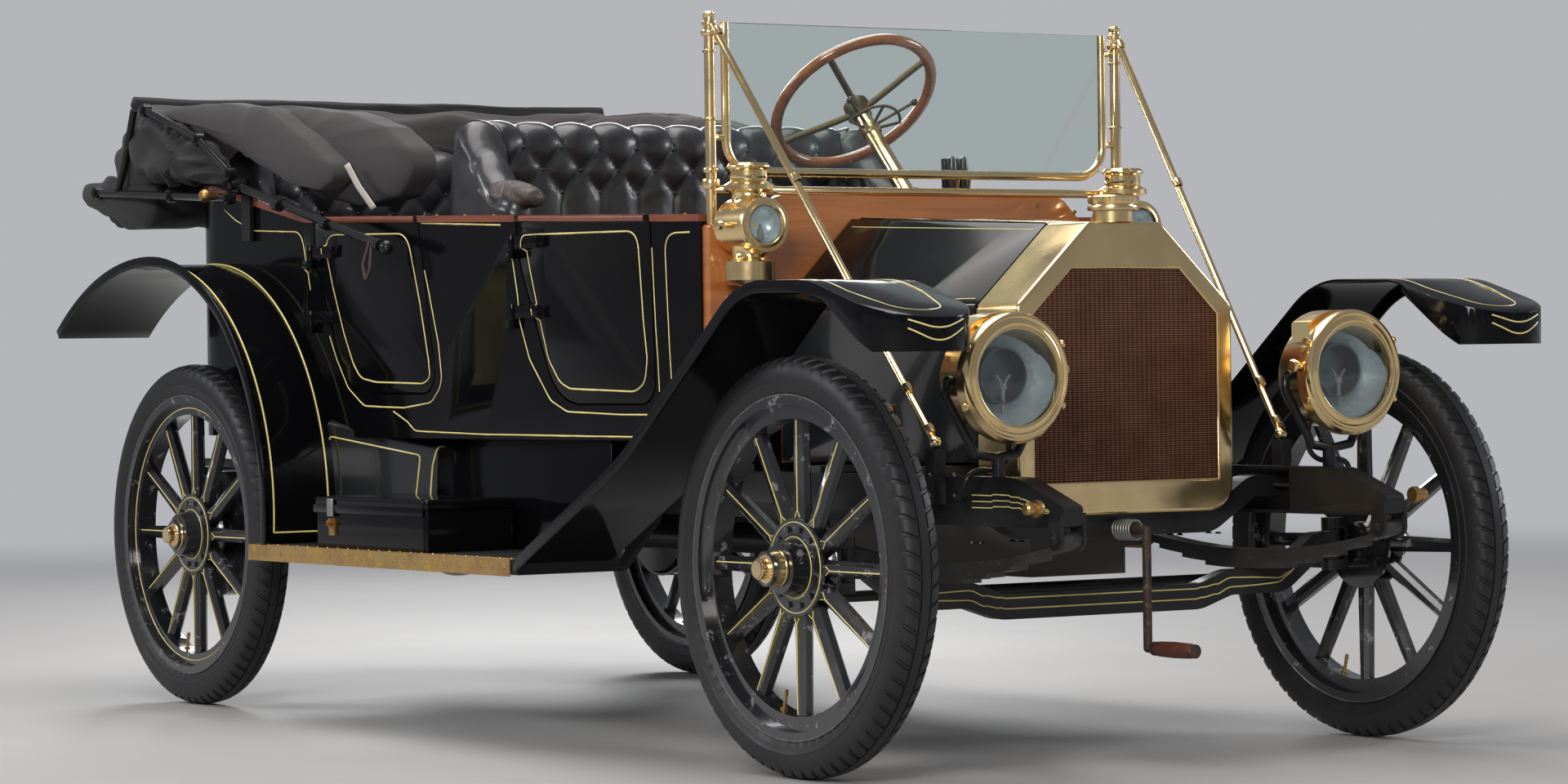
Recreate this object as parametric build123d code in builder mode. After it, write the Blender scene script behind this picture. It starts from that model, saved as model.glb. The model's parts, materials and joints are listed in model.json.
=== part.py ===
from build123d import *
from math import cos, radians, sin, sqrt
import os

# Open touring car of the brass era, built piece by piece as the real one is.
# Millimetres. +X points forward, +Y to the car's left, +Z up. The tyres stand on Z = 0.
# The origin is on the ground under the middle of the car's whole length.

# Stance
wheelbase = 2584
track = 1422
front_overhang = 466
rear_overhang = 770
rear_axle_x = (rear_overhang - front_overhang - wheelbase) / 2
front_axle_x = rear_axle_x + wheelbase
front_end_x = front_axle_x + front_overhang
rear_end_x = rear_axle_x - rear_overhang

# Running clearances
running_gap = 0.3
panel_gap = 5.0

# Wheels and tyres
tyre_radius = 406.4
tyre_half_width = 45
tyre_bead_radius = 319
tyre_bead_half_width = 33
tread_half_width = 30
tread_shoulder_drop = 8
tyre_sides = 60
rim_flange_radius = 333
rim_half_width = 38
rim_thickness = 4
felloe_radius = 286
felloe_half_width = 22
spoke_count = 12
spoke_width_at_hub = 36
spoke_width_at_rim = 26
spoke_depth = 30
spoke_chamfer = 8
hub_radius = 48
hub_half_length = 56
hub_flange_radius = 95
hub_flange_thickness = 7
flange_seat = 1.5
front_cap_reach = 109
rear_cap_reach = 89
cap_radius = 34
cap_nut_radius = 18
cap_nut_length = 20
hub_bore_radius = 20.3
axle_z = tyre_radius
drum_radius = 150
drum_width = 62

# Frame rails
rail_y = 400
rail_width = 46
rail_top_z = 575
rail_height = 95
rail_wall = 6
rail_rear_x = rear_axle_x - 560
rail_bottom_z = rail_top_z - rail_height
rail_outer_y = rail_y + rail_width / 2
horn_tip_x = front_axle_x + 426
horn_bend_x = front_axle_x + 300
horn_solid_x = front_axle_x + 150
horn_tip_height = 40
horn_tip_z = 482

# Springs
leaf_thickness = 8
leaf_count = 5
leaf_width = 45
spring_eye_radius = 16
spring_pin_radius = 8
front_spring_half_length = 426
front_spring_eye_z = 458
front_spring_sag = 46
rear_spring_half_length = 480
rear_spring_eye_z = 540
rear_spring_sag = 46
rear_spring_y = rail_outer_y + 12 + leaf_width / 2
ear_thickness = 7
ear_radius = 20
grease_cup_length = 10

# Front axle and steering linkage
kingpin_y = 615
kingpin_radius = 11
kingpin_boss_radius = 20
kingpin_boss_height = 64
axle_beam_depth = 34
axle_beam_height = 52
axle_drop = 26
axle_drop_half_width = 250
steering_arm_length = 150
steering_arm_thickness = 14
tie_rod_radius = 11
tie_rod_drop = 9

# Rear axle
rear_axle_tube_radius = 36
differential_radius = 128
differential_half_width = 92
torque_tube_radius = 34
rear_spindle_radius = hub_bore_radius - running_gap

# Body
dash_rear_x = front_axle_x - 608
dash_thickness = 28
dash_front_x = dash_rear_x + dash_thickness
body_front_half_width = 545
body_middle_x = rear_axle_x + 1200
body_middle_half_width = 605
body_widest_x = rear_axle_x + 400
body_half_width = 638
body_corner_radius = 250
body_back_x = rear_axle_x - 280
body_wall = 28
sill_z = 640
floor_thickness = 20
floor_side_gap = 2
rail_front_z = 1106
rail_slope_start_x = rear_axle_x + 425
rail_slope_z = 1153
back_rise_x = rear_axle_x - 60
back_top_z = 1245
back_rise_radius = 300
cap_thickness = 15
cap_proud = 4
body_sill_width = 40
toe_board_run = 200
toe_board_rise = 110

# Doors
front_door_back_x = dash_rear_x - 656
front_door_front_x = dash_rear_x - 176
front_door_bottom_z = 718
rear_door_back_x = rear_axle_x + 466
rear_door_front_x = rear_axle_x + 900
rear_door_bottom_z = 742
rear_door_lean = 95
door_back_sweep = 150
door_corner_radius = 45
door_sweep_radius = 130
hinge_radius = 8
hinge_length = 34
hinge_proud = 12
hinge_standoff = 2
hinge_strap = 104
hinge_knuckle = 18
hinge_tab = 40
hinge_heights = (rail_front_z - 40, rail_front_z - 190)

# Radiator and hood
radiator_front_x = front_axle_x + 106
radiator_depth = 135
radiator_back_x = radiator_front_x - radiator_depth
radiator_half_width = 270
radiator_top_half_width = 92
radiator_top_z = 1070
radiator_shoulder_z = 905
radiator_bottom_z = 489
radiator_low_radius = 60
radiator_high_radius = 26
core_half_width = 235
core_top_half_width = 137
core_top_z = 981
core_shoulder_z = 888
core_bottom_z = 551
core_setback = 10
filler_radius = 40
filler_height = 46
hood_thickness = 3
hood_rear_half_width = 376
hood_rear_top_half_width = 190
hood_rear_top_z = 1097
hood_rear_shoulder_z = 912
hood_bottom_z = 596
hood_hinge_radius = 5
hood_rod_clearance = 6.5
hood_side_rake = 47
hood_rake_z = 800
hood_ledge_gap = 5
hood_ledge_reach = 52

# Dash, windshield and side lamps
dash_half_width = 540
dash_top_half_width = 365
dash_step_z = 1085
dash_bottom_z = 592
windshield_x = dash_rear_x + dash_thickness / 2
post_y = 526
post_radius = 11
glass_rail_y = 488
glass_top_z = 1500
post_above_glass = 19
post_top_z = glass_top_z + post_above_glass
glass_bottom_z = 1192
glass_thickness = 6
frame_tube_radius = 9
frame_corner_radius = 66
base_rail_z = 1155
dash_top_z = base_rail_z - frame_tube_radius - running_gap
stay_radius = 8
stay_foot_x = front_axle_x + 56
stay_foot_y = 436
stay_foot_z = 640
side_lamp_x = dash_front_x + 62
side_lamp_y = 484
side_lamp_z = 1080
side_lamp_radius = 56
side_lamp_bezel_radius = 55
side_lamp_font_radius = 52

# Headlamps
headlamp_face_x = front_axle_x + 305
headlamp_y = 420
headlamp_z = 760
bezel_radius = 121
lens_radius = 95
headlamp_body_radius = 104
headlamp_body_depth = 150
headlamp_flat_radius = 20
bracket_radius = 9
fork_set_back = 74
fork_straight = 30

# Fenders and running boards
fender_outer_y = 840
fender_inner_y = 595
fender_thickness = 5
fender_lip = 24
board_thickness = 26
board_top_z = 398
board_inner_y = 575
board_rear_x = rear_axle_x + 512
board_front_x = dash_rear_x - 285
apron_y = 552
apron_thickness = 5

# Tool box
tool_box_rear_x = rear_axle_x + 790
tool_box_length = 500
tool_box_outer_y = 815
tool_box_width = 225
tool_box_height = 92
tool_box_lid_height = 24
tool_box_wall = 3

# Steering gear and controls
steering_wheel_x = dash_rear_x - 661
steering_wheel_y = 300
steering_wheel_z = 1389
steering_wheel_radius = 192
steering_rim_radius = 13
column_slope = 46.4
column_radius = 19
column_clearance = 5
lever_x = dash_rear_x - 539
lever_y = 480
lever_top_z = 1256

# Crank
crank_z = 458
crank_elbow_x = front_axle_x + 160
crank_arm = 233
crank_radius = 9
crank_grip_length = 130
crank_grip_radius = 14
crank_jaw_x = front_axle_x + 10

# Engine
engine_front_x = front_axle_x - 62
engine_length = 430
engine_half_width = 120
engine_top_z = 905
crankcase_bottom_z = 362

# Seats and folded top
front_seat_back_x = rear_axle_x + 930
front_seat_depth = 500
front_seat_half_width = 560
seat_cushion_z = 985
front_seat_top_z = 1345
rear_seat_depth = 560
rear_seat_top_z = 1335
seat_back_thickness = 130
seat_clearance = 1
top_flap_depth = 47.7
top_half_width = body_half_width + cap_proud + running_gap + top_flap_depth
top_bow_x = rear_axle_x - 396
top_bow_z = 1462
top_pivot_x = rear_axle_x + 150
top_pivot_z = 1233
iron_radius = 11
iron_splay = 22

FRONT = Plane(origin=(0, 0, 0), x_dir=(0, 1, 0), z_dir=(1, 0, 0))
SIDE = Plane(origin=(0, 0, 0), x_dir=(1, 0, 0), z_dir=(0, -1, 0))

os.makedirs("parts", exist_ok=True)


def keep(builder, name):
    """Label a finished piece and write it to its own file."""
    builder.part.label = name
    export_step(builder.part, os.path.join("parts", name + ".step"))


def front_plane(x):
    """Upright plane across the car at x: its own axes are +Y and +Z."""
    return FRONT.offset(x)


def side_plane(y):
    """Upright plane along the car at y: its own axes are +X and +Z."""
    return SIDE.offset(-y)


def rod(points, radius):
    """Round bar along straight runs, with a ball at each corner."""
    with BuildPart() as bar:
        for start, end in zip(points, points[1:]):
            run = Vector(*end) - Vector(*start)
            with BuildSketch(Plane(origin=start, z_dir=run)):
                Circle(radius)
            extrude(amount=run.length)
        if len(points) > 2:
            with Locations(*points[1:-1]):
                Sphere(radius)
    return bar.part


def bent_rod(plane, points, bend, radius):
    """Round bar along points in a plane, bent round at each corner."""
    with BuildPart() as bar:
        with BuildLine(plane) as route:
            FilletPolyline(*points, radius=bend)
        with BuildSketch(Plane(origin=route.line @ 0, z_dir=route.line % 0)):
            Circle(radius)
        sweep(path=route.line)
    return bar.part


# Body outline, seen from above and from the side
def body_flank(inset=0):
    """The body's left flank, seen from above, moved in by inset."""
    return ThreePointArc((dash_rear_x, body_front_half_width - inset),
                         (body_middle_x, body_middle_half_width - inset),
                         (body_widest_x, body_half_width - inset))


def body_plan(height, inset=0):
    """Outline of the body seen from above, moved in by inset, with its front at the dash."""
    corner_x = body_back_x + body_corner_radius
    with BuildSketch(Plane.XY.offset(height)) as plan:
        with BuildLine():
            flank = body_flank(inset)
            run = Line(flank @ 1, (corner_x, body_half_width - inset))
            corner = RadiusArc(run @ 1,
                               (body_back_x + inset, body_half_width - body_corner_radius),
                               -(body_corner_radius - inset))
            Line(corner @ 1, (body_back_x + inset, 0))
            Line((dash_rear_x, 0), flank @ 0)
            mirror(about=Plane.XZ)
        make_face()
    return plan.sketch


def body_ring(outer_inset, inner_inset):
    """Upright wall that follows the body's outline, open at the dash."""
    with BuildPart() as ring:
        extrude(body_plan(sill_z, outer_inset), amount=back_top_z - sill_z)
        extrude(body_plan(sill_z, inner_inset), amount=back_top_z - sill_z, mode=Mode.SUBTRACT)
    return ring.part


def body_side(low, drop):
    """Side view of the body from low up to drop under its top edge."""
    with BuildSketch(side_plane(fender_outer_y)) as outline:
        with BuildLine():
            top = FilletPolyline((dash_rear_x, rail_front_z - drop),
                                 (rail_slope_start_x, rail_slope_z - drop),
                                 (back_rise_x, back_top_z - drop),
                                 (body_back_x - body_wall, back_top_z - drop),
                                 radius=back_rise_radius)
            Polyline(top @ 1, (body_back_x - body_wall, low), (dash_rear_x, low), top @ 0)
        make_face()
    return outline.sketch


def cap_band():
    """Side view of the wooden cap along the body's top edge."""
    with BuildPart() as band:
        extrude(body_side(sill_z, 0), amount=2 * fender_outer_y, both=True)
        extrude(body_side(0, cap_thickness), amount=2 * fender_outer_y, both=True,
                mode=Mode.SUBTRACT)
    return band.part


def door_outline(back_x, front_x, bottom_z, lean, gap):
    """Side view of a door, grown by gap, open upwards past the cap."""
    top_z = back_top_z + cap_thickness
    with BuildSketch(side_plane(fender_outer_y)) as outline:
        with BuildLine():
            FilletPolyline((back_x, top_z), (back_x + 6, rail_front_z - 60),
                           (back_x + door_back_sweep, bottom_z),
                           (front_x + lean, bottom_z), (front_x, top_z),
                           radius=[door_sweep_radius * 2, door_sweep_radius, door_corner_radius])
            Line((front_x, top_z), (back_x, top_z))
        make_face()
        if gap:
            offset(amount=gap, kind=Kind.INTERSECTION)
    return outline.sketch


def body_half_width_at(x):
    """Half width of the body's flank at x."""
    if x <= body_widest_x:
        return body_half_width
    with BuildLine() as flank:
        body_flank()
    low, high = 0.0, 1.0
    for _ in range(30):
        middle = (low + high) / 2
        if (flank.line @ middle).X > x:
            low = middle
        else:
            high = middle
    return (flank.line @ low).Y


FRONT_DOOR = (front_door_back_x, front_door_front_x, front_door_bottom_z, 18)
REAR_DOOR = (rear_door_back_x, rear_door_front_x, rear_door_bottom_z, rear_door_lean)

walls = body_ring(0, body_wall)
cap_walls = body_ring(-cap_proud, body_wall + cap_proud)
cap_strip = cap_band()


def column_bore(radius):
    """Inclined cylinder about the steering column, to cut its way through a panel."""
    slope = radians(column_slope)
    down = Vector(cos(slope), 0, -sin(slope))
    start = Vector(steering_wheel_x, steering_wheel_y, steering_wheel_z) + down * 300
    with BuildPart() as bore:
        with BuildSketch(Plane(origin=start, z_dir=down)):
            Circle(radius)
        extrude(amount=1000)
    return bore.part


column_way = column_bore(column_radius + column_clearance)


def hinge_leaf(back_x, side, height):
    """Body side of a door hinge: a knuckle under the door's own, on a tab in the wall."""
    hinge_y = body_half_width_at(back_x) + hinge_proud
    knuckle_z = height - (hinge_length + hinge_knuckle) / 2 - running_gap
    tab = 2 * hinge_proud
    with BuildPart() as leaf:
        with Locations((back_x, side * hinge_y, knuckle_z)):
            Cylinder(hinge_radius, hinge_knuckle)
        with Locations((back_x - hinge_tab / 2, side * (hinge_y - tab / 2), knuckle_z)):
            Box(hinge_tab, tab, hinge_knuckle)
    return leaf.part


# Body tub: its walls with the body side of the door hinges
with BuildPart() as body_tub:
    add(walls)
    extrude(body_side(0, cap_thickness), amount=2 * fender_outer_y, both=True,
            mode=Mode.INTERSECT)
    for shape in (FRONT_DOOR, REAR_DOOR):
        extrude(door_outline(*shape, panel_gap), amount=2 * fender_outer_y, both=True,
                mode=Mode.SUBTRACT)
    for back_x in (front_door_back_x, rear_door_back_x):
        for side in (1, -1):
            for height in hinge_heights:
                add(hinge_leaf(back_x, side, height))
keep(body_tub, "body_tub")

# Floor on the sills, with the sloping toe board
with BuildPart() as floor_boards:
    extrude(body_plan(sill_z, body_wall + running_gap), amount=floor_thickness)
    toe_board_half_width = body_front_half_width - body_wall - floor_side_gap
    with BuildSketch(side_plane(toe_board_half_width)):
        with BuildLine():
            Polyline((dash_rear_x - toe_board_run, sill_z + floor_thickness),
                     (dash_rear_x, sill_z + floor_thickness + toe_board_rise),
                     (dash_rear_x, sill_z + floor_thickness),
                     (dash_rear_x - toe_board_run, sill_z + floor_thickness))
        make_face()
    extrude(amount=2 * toe_board_half_width)
    add(column_way, mode=Mode.SUBTRACT)
    sill_length = dash_rear_x - body_back_x - body_corner_radius
    with Locations(*[(dash_rear_x - sill_length / 2, side * rail_y, (rail_top_z + sill_z) / 2)
                     for side in (1, -1)]):
        Box(sill_length, body_sill_width, sill_z - rail_top_z)
keep(floor_boards, "floor_boards")

# Wooden cap on the fixed walls
with BuildPart() as body_rail:
    add(cap_walls)
    add(cap_strip, mode=Mode.INTERSECT)
    for shape in (FRONT_DOOR, REAR_DOOR):
        extrude(door_outline(*shape, panel_gap), amount=2 * fender_outer_y, both=True,
                mode=Mode.SUBTRACT)
keep(body_rail, "body_rail")


def door(shape, side):
    """One door: a length of the body's wall with its own cap and hinge knuckles."""
    back_x = shape[0]
    hinge_y = body_half_width_at(back_x) + hinge_proud
    if side < 0:
        half = Pos(0, -fender_outer_y, 0) * Box(10000, 2 * fender_outer_y, 10000)
    else:
        half = Pos(0, fender_outer_y, 0) * Box(10000, 2 * fender_outer_y, 10000)
    with BuildPart() as leaf:
        add(walls)
        extrude(body_side(0, cap_thickness), amount=2 * fender_outer_y, both=True,
                mode=Mode.INTERSECT)
        cap = (cap_walls & cap_strip)
        add(cap)
        extrude(door_outline(*shape, 0), amount=2 * fender_outer_y, both=True,
                mode=Mode.INTERSECT)
        add(half, mode=Mode.INTERSECT)
        strap = hinge_proud - hinge_standoff
        for height in hinge_heights:
            with Locations((back_x, side * hinge_y, height)):
                Cylinder(hinge_radius, hinge_length)
            with Locations((back_x + hinge_strap / 2, side * (hinge_y - strap / 2), height)):
                Box(hinge_strap, strap, hinge_length * 0.8)
            with Locations((back_x + hinge_strap - 12, side * (hinge_y - hinge_proud), height)):
                Box(24, 2 * hinge_proud, hinge_length * 0.8)
    return leaf, (back_x, side * hinge_y)


hinges = {}
for name, shape in (("front", FRONT_DOOR), ("rear", REAR_DOOR)):
    for side, word in ((1, "left"), (-1, "right")):
        leaf, hinges[name + "_" + word] = door(shape, side)
        keep(leaf, "door_" + name + "_" + word)



# Frame rails: channels open towards the middle, solid at the horns
def spring_ear(x, z, y, top_z):
    """Plate on each side of a spring eye, from the eye up to the rail."""
    with BuildPart() as ears:
        for side in (1, -1):
            face = y + side * rail_width / 2
            with BuildSketch(side_plane(face)):
                with Locations((x, z)):
                    Circle(ear_radius)
                with Locations((x, (z + top_z) / 2)):
                    Rectangle(2 * ear_radius, top_z - z)
            extrude(amount=-side * ear_thickness)
        reach = rail_width + 2 * ear_thickness + 2 * grease_cup_length
        with Locations(Location((x, y, z), (90, 0, 0))):
            Cylinder(spring_pin_radius, reach)
    return ears.part


rear_pin_length = rear_spring_y + leaf_width / 2 + grease_cup_length - rail_outer_y
front_eyes = (front_axle_x - front_spring_half_length, front_axle_x + front_spring_half_length)
rear_eyes = (rear_axle_x - rear_spring_half_length, rear_axle_x + rear_spring_half_length)
with BuildPart() as frame_rails:
    with BuildSketch(side_plane(rail_outer_y)):
        with BuildLine():
            FilletPolyline((rail_rear_x, rail_top_z), (horn_bend_x, rail_top_z),
                           (horn_tip_x + ear_radius, horn_tip_z + horn_tip_height),
                           (horn_tip_x + ear_radius, horn_tip_z),
                           (horn_bend_x - 80, rail_bottom_z), (rail_rear_x, rail_bottom_z),
                           radius=[120, 12, 12, 160])
            Line((rail_rear_x, rail_bottom_z), (rail_rear_x, rail_top_z))
        make_face()
    extrude(amount=rail_width)
    channel_length = horn_solid_x - rail_rear_x
    with Locations((rail_rear_x + channel_length / 2, rail_outer_y - rail_wall - rail_width / 2,
                    rail_top_z - rail_height / 2)):
        Box(channel_length, rail_width, rail_height - 2 * rail_wall, mode=Mode.SUBTRACT)
    for eye_x in front_eyes:
        add(spring_ear(eye_x, front_spring_eye_z, rail_y, rail_bottom_z + 30))
    for eye_x in rear_eyes:
        with Locations(Location((eye_x, rail_outer_y + rear_pin_length / 2, rear_spring_eye_z),
                                (90, 0, 0))):
            Cylinder(spring_pin_radius, rear_pin_length)
        boss = rear_spring_y - leaf_width / 2 - rail_outer_y - running_gap
        with Locations(Location((eye_x, rail_outer_y + boss / 2, rear_spring_eye_z), (90, 0, 0))):
            Cylinder(ear_radius, boss)
    lug_height = stay_foot_z - stay_radius - 4 - running_gap - rail_bottom_z - 40
    with Locations((stay_foot_x, rail_outer_y + 14, rail_bottom_z + 40 + lug_height / 2)):
        Box(30, 28, lug_height)
    mirror(about=Plane.XZ)
keep(frame_rails, "frame_rails")

# Cross members between the rails: the front one dips under the radiator
web_y = rail_outer_y - rail_wall
cross_member_z = rail_top_z - rail_height / 2
cross_member_height = rail_height - 2 * rail_wall - 2
front_member_height = 44
front_member_width = 50
front_member_x = radiator_front_x - radiator_depth / 2 + 10
front_member_z = radiator_bottom_z - front_member_height / 2
with BuildPart() as frame_cross_members:
    with BuildSketch(front_plane(front_member_x - front_member_width / 2)):
        with BuildLine():
            FilletPolyline((-web_y, cross_member_z + 8), (-345, cross_member_z + 8),
                           (-235, front_member_z), (235, front_member_z),
                           (345, cross_member_z + 8), (web_y, cross_member_z + 8), radius=60)
        trace(line_width=front_member_height)
        with Locations((0, cross_member_z)):
            Rectangle(2 * web_y, 3 * rail_height, mode=Mode.INTERSECT)
    extrude(amount=front_member_width)
    with Locations(Location((front_member_x, 0, crank_z), (0, 90, 0))):
        Cylinder(crank_radius + 0.6, 2 * front_member_width, mode=Mode.SUBTRACT)
    for member_x in (rear_axle_x - 530, rear_axle_x + 300, rear_axle_x + 1150):
        with Locations((member_x, 0, cross_member_z)):
            Box(50, 2 * web_y, cross_member_height)
keep(frame_cross_members, "frame_cross_members")


# Leaf springs
def leaf_spring(x, y, eye_z, half_length, sag):
    """Stack of arched leaves, the longest on top with an eye at each end."""
    radius = (half_length ** 2 + sag ** 2) / (2 * sag)
    centre_z = eye_z - spring_eye_radius + leaf_thickness / 2 - sag + radius
    with BuildPart() as spring:
        for leaf in range(leaf_count):
            reach = half_length * (1 - leaf / (leaf_count + 0.6))
            inner = radius - leaf_thickness / 2 + leaf * leaf_thickness
            with BuildSketch(side_plane(y - leaf_width / 2)):
                with Locations((x, centre_z)):
                    Circle(inner + leaf_thickness)
                    Circle(inner, mode=Mode.SUBTRACT)
                with Locations((x, centre_z - radius)):
                    Rectangle(2 * reach, 4 * sag, mode=Mode.INTERSECT)
            extrude(amount=-leaf_width)
        eyes = [Location((x + side * half_length, y, eye_z), (90, 0, 0)) for side in (1, -1)]
        with Locations(*eyes):
            Cylinder(spring_eye_radius, leaf_width)
            Cylinder(spring_pin_radius + running_gap, 2 * leaf_width, mode=Mode.SUBTRACT)
    return spring.part


leaf_stack = (leaf_count - 1) * leaf_thickness
front_perch_z = front_spring_eye_z - spring_eye_radius - front_spring_sag - leaf_stack
rear_perch_z = rear_spring_eye_z - spring_eye_radius - rear_spring_sag - leaf_stack
with BuildPart() as leaf_springs:
    add(leaf_spring(front_axle_x, rail_y, front_spring_eye_z, front_spring_half_length,
                    front_spring_sag))
    add(leaf_spring(rear_axle_x, rear_spring_y, rear_spring_eye_z, rear_spring_half_length,
                    rear_spring_sag))
    mirror(about=Plane.XZ)
keep(leaf_springs, "leaf_springs")

# Front axle: a forged beam that drops in the middle, with a boss for each kingpin
perch_centre_z = front_perch_z - running_gap - axle_beam_height / 2
with BuildPart() as front_axle:
    with BuildSketch(front_plane(front_axle_x - axle_beam_depth / 2)):
        with BuildLine():
            half = FilletPolyline((0, perch_centre_z - axle_drop),
                                  (axle_drop_half_width, perch_centre_z - axle_drop),
                                  (axle_drop_half_width + 80, perch_centre_z),
                                  (rail_y + 70, perch_centre_z), (kingpin_y - 50, axle_z),
                                  (kingpin_y, axle_z), radius=[80, 80, 60, 30])
            mirror(half, about=Plane.YZ)
        trace(line_width=axle_beam_height)
    extrude(amount=axle_beam_depth)
    with Locations((front_axle_x, kingpin_y, axle_z), (front_axle_x, -kingpin_y, axle_z)):
        Cylinder(kingpin_boss_radius, kingpin_boss_height)
        Cylinder(kingpin_radius + running_gap, 2 * kingpin_boss_height, mode=Mode.SUBTRACT)
keep(front_axle, "front_axle")


# Steering knuckles: a yoke about the axle's boss, a kingpin, a spindle and an arm
ear_height = 22
yoke_gap = 0.5
yoke_plate = 9
yoke_reach = kingpin_boss_radius + 1 + yoke_plate
yoke_outer = kingpin_y + yoke_reach
arm_z = axle_z - kingpin_boss_height / 2 - yoke_gap - ear_height / 2
with BuildPart() as knuckle_left:
    for side in (1, -1):
        ear_z = axle_z + side * (kingpin_boss_height / 2 + yoke_gap + ear_height / 2)
        with Locations((front_axle_x, kingpin_y, ear_z)):
            Cylinder(kingpin_boss_radius, ear_height)
        with Locations((front_axle_x, kingpin_y + yoke_reach / 2, ear_z)):
            Box(2 * kingpin_boss_radius, yoke_reach, ear_height)
    with Locations((front_axle_x, kingpin_y, axle_z)):
        Cylinder(kingpin_radius, kingpin_boss_height + 2 * ear_height + 2)
    with Locations((front_axle_x, yoke_outer - yoke_plate / 2, axle_z)):
        Box(2 * kingpin_boss_radius, yoke_plate,
            kingpin_boss_height + 2 * yoke_gap + 2 * ear_height)
    spindle_end = track / 2 + hub_half_length + 6
    spindle_radius = hub_bore_radius - running_gap
    with Locations(Location((front_axle_x, (yoke_outer + spindle_end) / 2, axle_z), (90, 0, 0))):
        Cylinder(spindle_radius, spindle_end - yoke_outer)
    with Locations((front_axle_x - steering_arm_length / 2, kingpin_y, arm_z)):
        Box(steering_arm_length, 24, steering_arm_thickness)
    with Locations((front_axle_x - steering_arm_length, kingpin_y, arm_z)):
        Cylinder(18, steering_arm_thickness)
    with Locations((front_axle_x - steering_arm_length, kingpin_y,
                    arm_z - steering_arm_thickness / 2 - tie_rod_drop - tie_rod_radius)):
        Cylinder(6, 2 * tie_rod_drop + 2 * tie_rod_radius)
keep(knuckle_left, "knuckle_left")

with BuildPart() as knuckle_right:
    mirror(knuckle_left.part, about=Plane.XZ)
keep(knuckle_right, "knuckle_right")

# Tie rod between the two arms, its eyes about the arms' pins
tie_rod_z = arm_z - steering_arm_thickness / 2 - tie_rod_drop - tie_rod_radius
tie_rod_eye_height = 2 * tie_rod_radius - 2
with BuildPart() as tie_rod:
    with Locations(Location((front_axle_x - steering_arm_length, 0, tie_rod_z), (90, 0, 0))):
        Cylinder(tie_rod_radius, 2 * kingpin_y)
    with Locations((front_axle_x - steering_arm_length, kingpin_y, tie_rod_z),
                   (front_axle_x - steering_arm_length, -kingpin_y, tie_rod_z)):
        Cylinder(17, tie_rod_eye_height)
        Cylinder(6 + running_gap, 4 * tie_rod_radius, mode=Mode.SUBTRACT)
keep(tie_rod, "tie_rod")

# Rear axle with its differential, spring saddles and torque tube
gearbox_rear_x = dash_rear_x - 430
backing_y = track / 2 - hub_half_length - drum_width - 8
with BuildPart() as rear_axle:
    with Locations(Location((rear_axle_x, 0, axle_z), (90, 0, 0))):
        Cylinder(rear_axle_tube_radius, 2 * backing_y)
    with BuildSketch(Plane(origin=(rear_axle_x, 0, axle_z), x_dir=(0, 1, 0), z_dir=(1, 0, 0))):
        with BuildLine():
            Line((-differential_half_width - 40, 0), (differential_half_width + 40, 0))
            Polyline((differential_half_width + 40, 0),
                     (differential_half_width + 40, rear_axle_tube_radius + 6),
                     (differential_half_width, rear_axle_tube_radius + 30))
            ThreePointArc((differential_half_width, rear_axle_tube_radius + 30),
                          (0, differential_radius),
                          (-differential_half_width, rear_axle_tube_radius + 30))
            Polyline((-differential_half_width, rear_axle_tube_radius + 30),
                     (-differential_half_width - 40, rear_axle_tube_radius + 6),
                     (-differential_half_width - 40, 0))
        make_face()
    revolve(axis=Axis((rear_axle_x, 0, axle_z), (0, 1, 0)))
    tube_length = gearbox_rear_x - running_gap - rear_axle_x
    with Locations(Location((rear_axle_x + tube_length / 2, 0, axle_z), (0, 90, 0))):
        Cylinder(torque_tube_radius, tube_length)
    for side in (1, -1):
        saddle_height = rear_perch_z - running_gap - axle_z
        with Locations((rear_axle_x, side * rear_spring_y, axle_z + saddle_height / 2)):
            Box(80, leaf_width, saddle_height)
        with Locations(Location((rear_axle_x, side * backing_y, axle_z), (90, 0, 0))):
            Cylinder(drum_radius - 12, 6)
        spindle = track / 2 + hub_half_length - 6 - backing_y
        with Locations(Location((rear_axle_x, side * (backing_y + spindle / 2), axle_z),
                                (90, 0, 0))):
            Cylinder(rear_spindle_radius, spindle)
keep(rear_axle, "rear_axle")


# Wheels, made flat with the outer face up, then stood at their corners
def faceted_tower(sections, inscribed):
    """Solid through many-sided outlines, each a height and a radius."""
    with BuildPart() as tower:
        for height, radius in sections:
            with BuildSketch(Plane.XY.offset(height)):
                RegularPolygon(radius, tyre_sides, major_radius=not inscribed)
        loft(ruled=True)
    return tower.part


def tyre_shape():
    """Clincher tyre in flat facets: beads in the rim, bulging walls and a flatter crown."""
    shoulder = tyre_radius - tread_shoulder_drop
    wall_radius = (rim_flange_radius + shoulder) / 2
    half_outline = ((tread_half_width * 0.45, tyre_radius), (tread_half_width, shoulder),
                    (tyre_half_width, wall_radius))
    outline = [(-half, radius) for half, radius in reversed(half_outline)]
    outline += list(half_outline)
    seat = rim_flange_radius + 3
    with BuildPart() as tyre:
        add(faceted_tower(outline, False))
        for low, high in (((-tyre_half_width, wall_radius - 8), (-tyre_bead_half_width, seat)),
                          ((-tyre_bead_half_width, tyre_bead_radius),
                           (tyre_bead_half_width, tyre_bead_radius)),
                          ((tyre_bead_half_width, seat), (tyre_half_width, wall_radius - 8))):
            add(faceted_tower((low, high), True), mode=Mode.SUBTRACT)
    return tyre.part


def spoke_shape():
    """One wooden spoke along +X, from inside the hub to inside the felloe."""
    with BuildPart() as spoke:
        for radius, width in ((hub_radius - 6, spoke_width_at_hub),
                              (felloe_radius + 6, spoke_width_at_rim)):
            with BuildSketch(Plane.YZ.offset(radius)) as section:
                Rectangle(width, spoke_depth)
                chamfer(section.vertices(), length=spoke_chamfer)
        loft(ruled=True)
    return spoke.part


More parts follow.
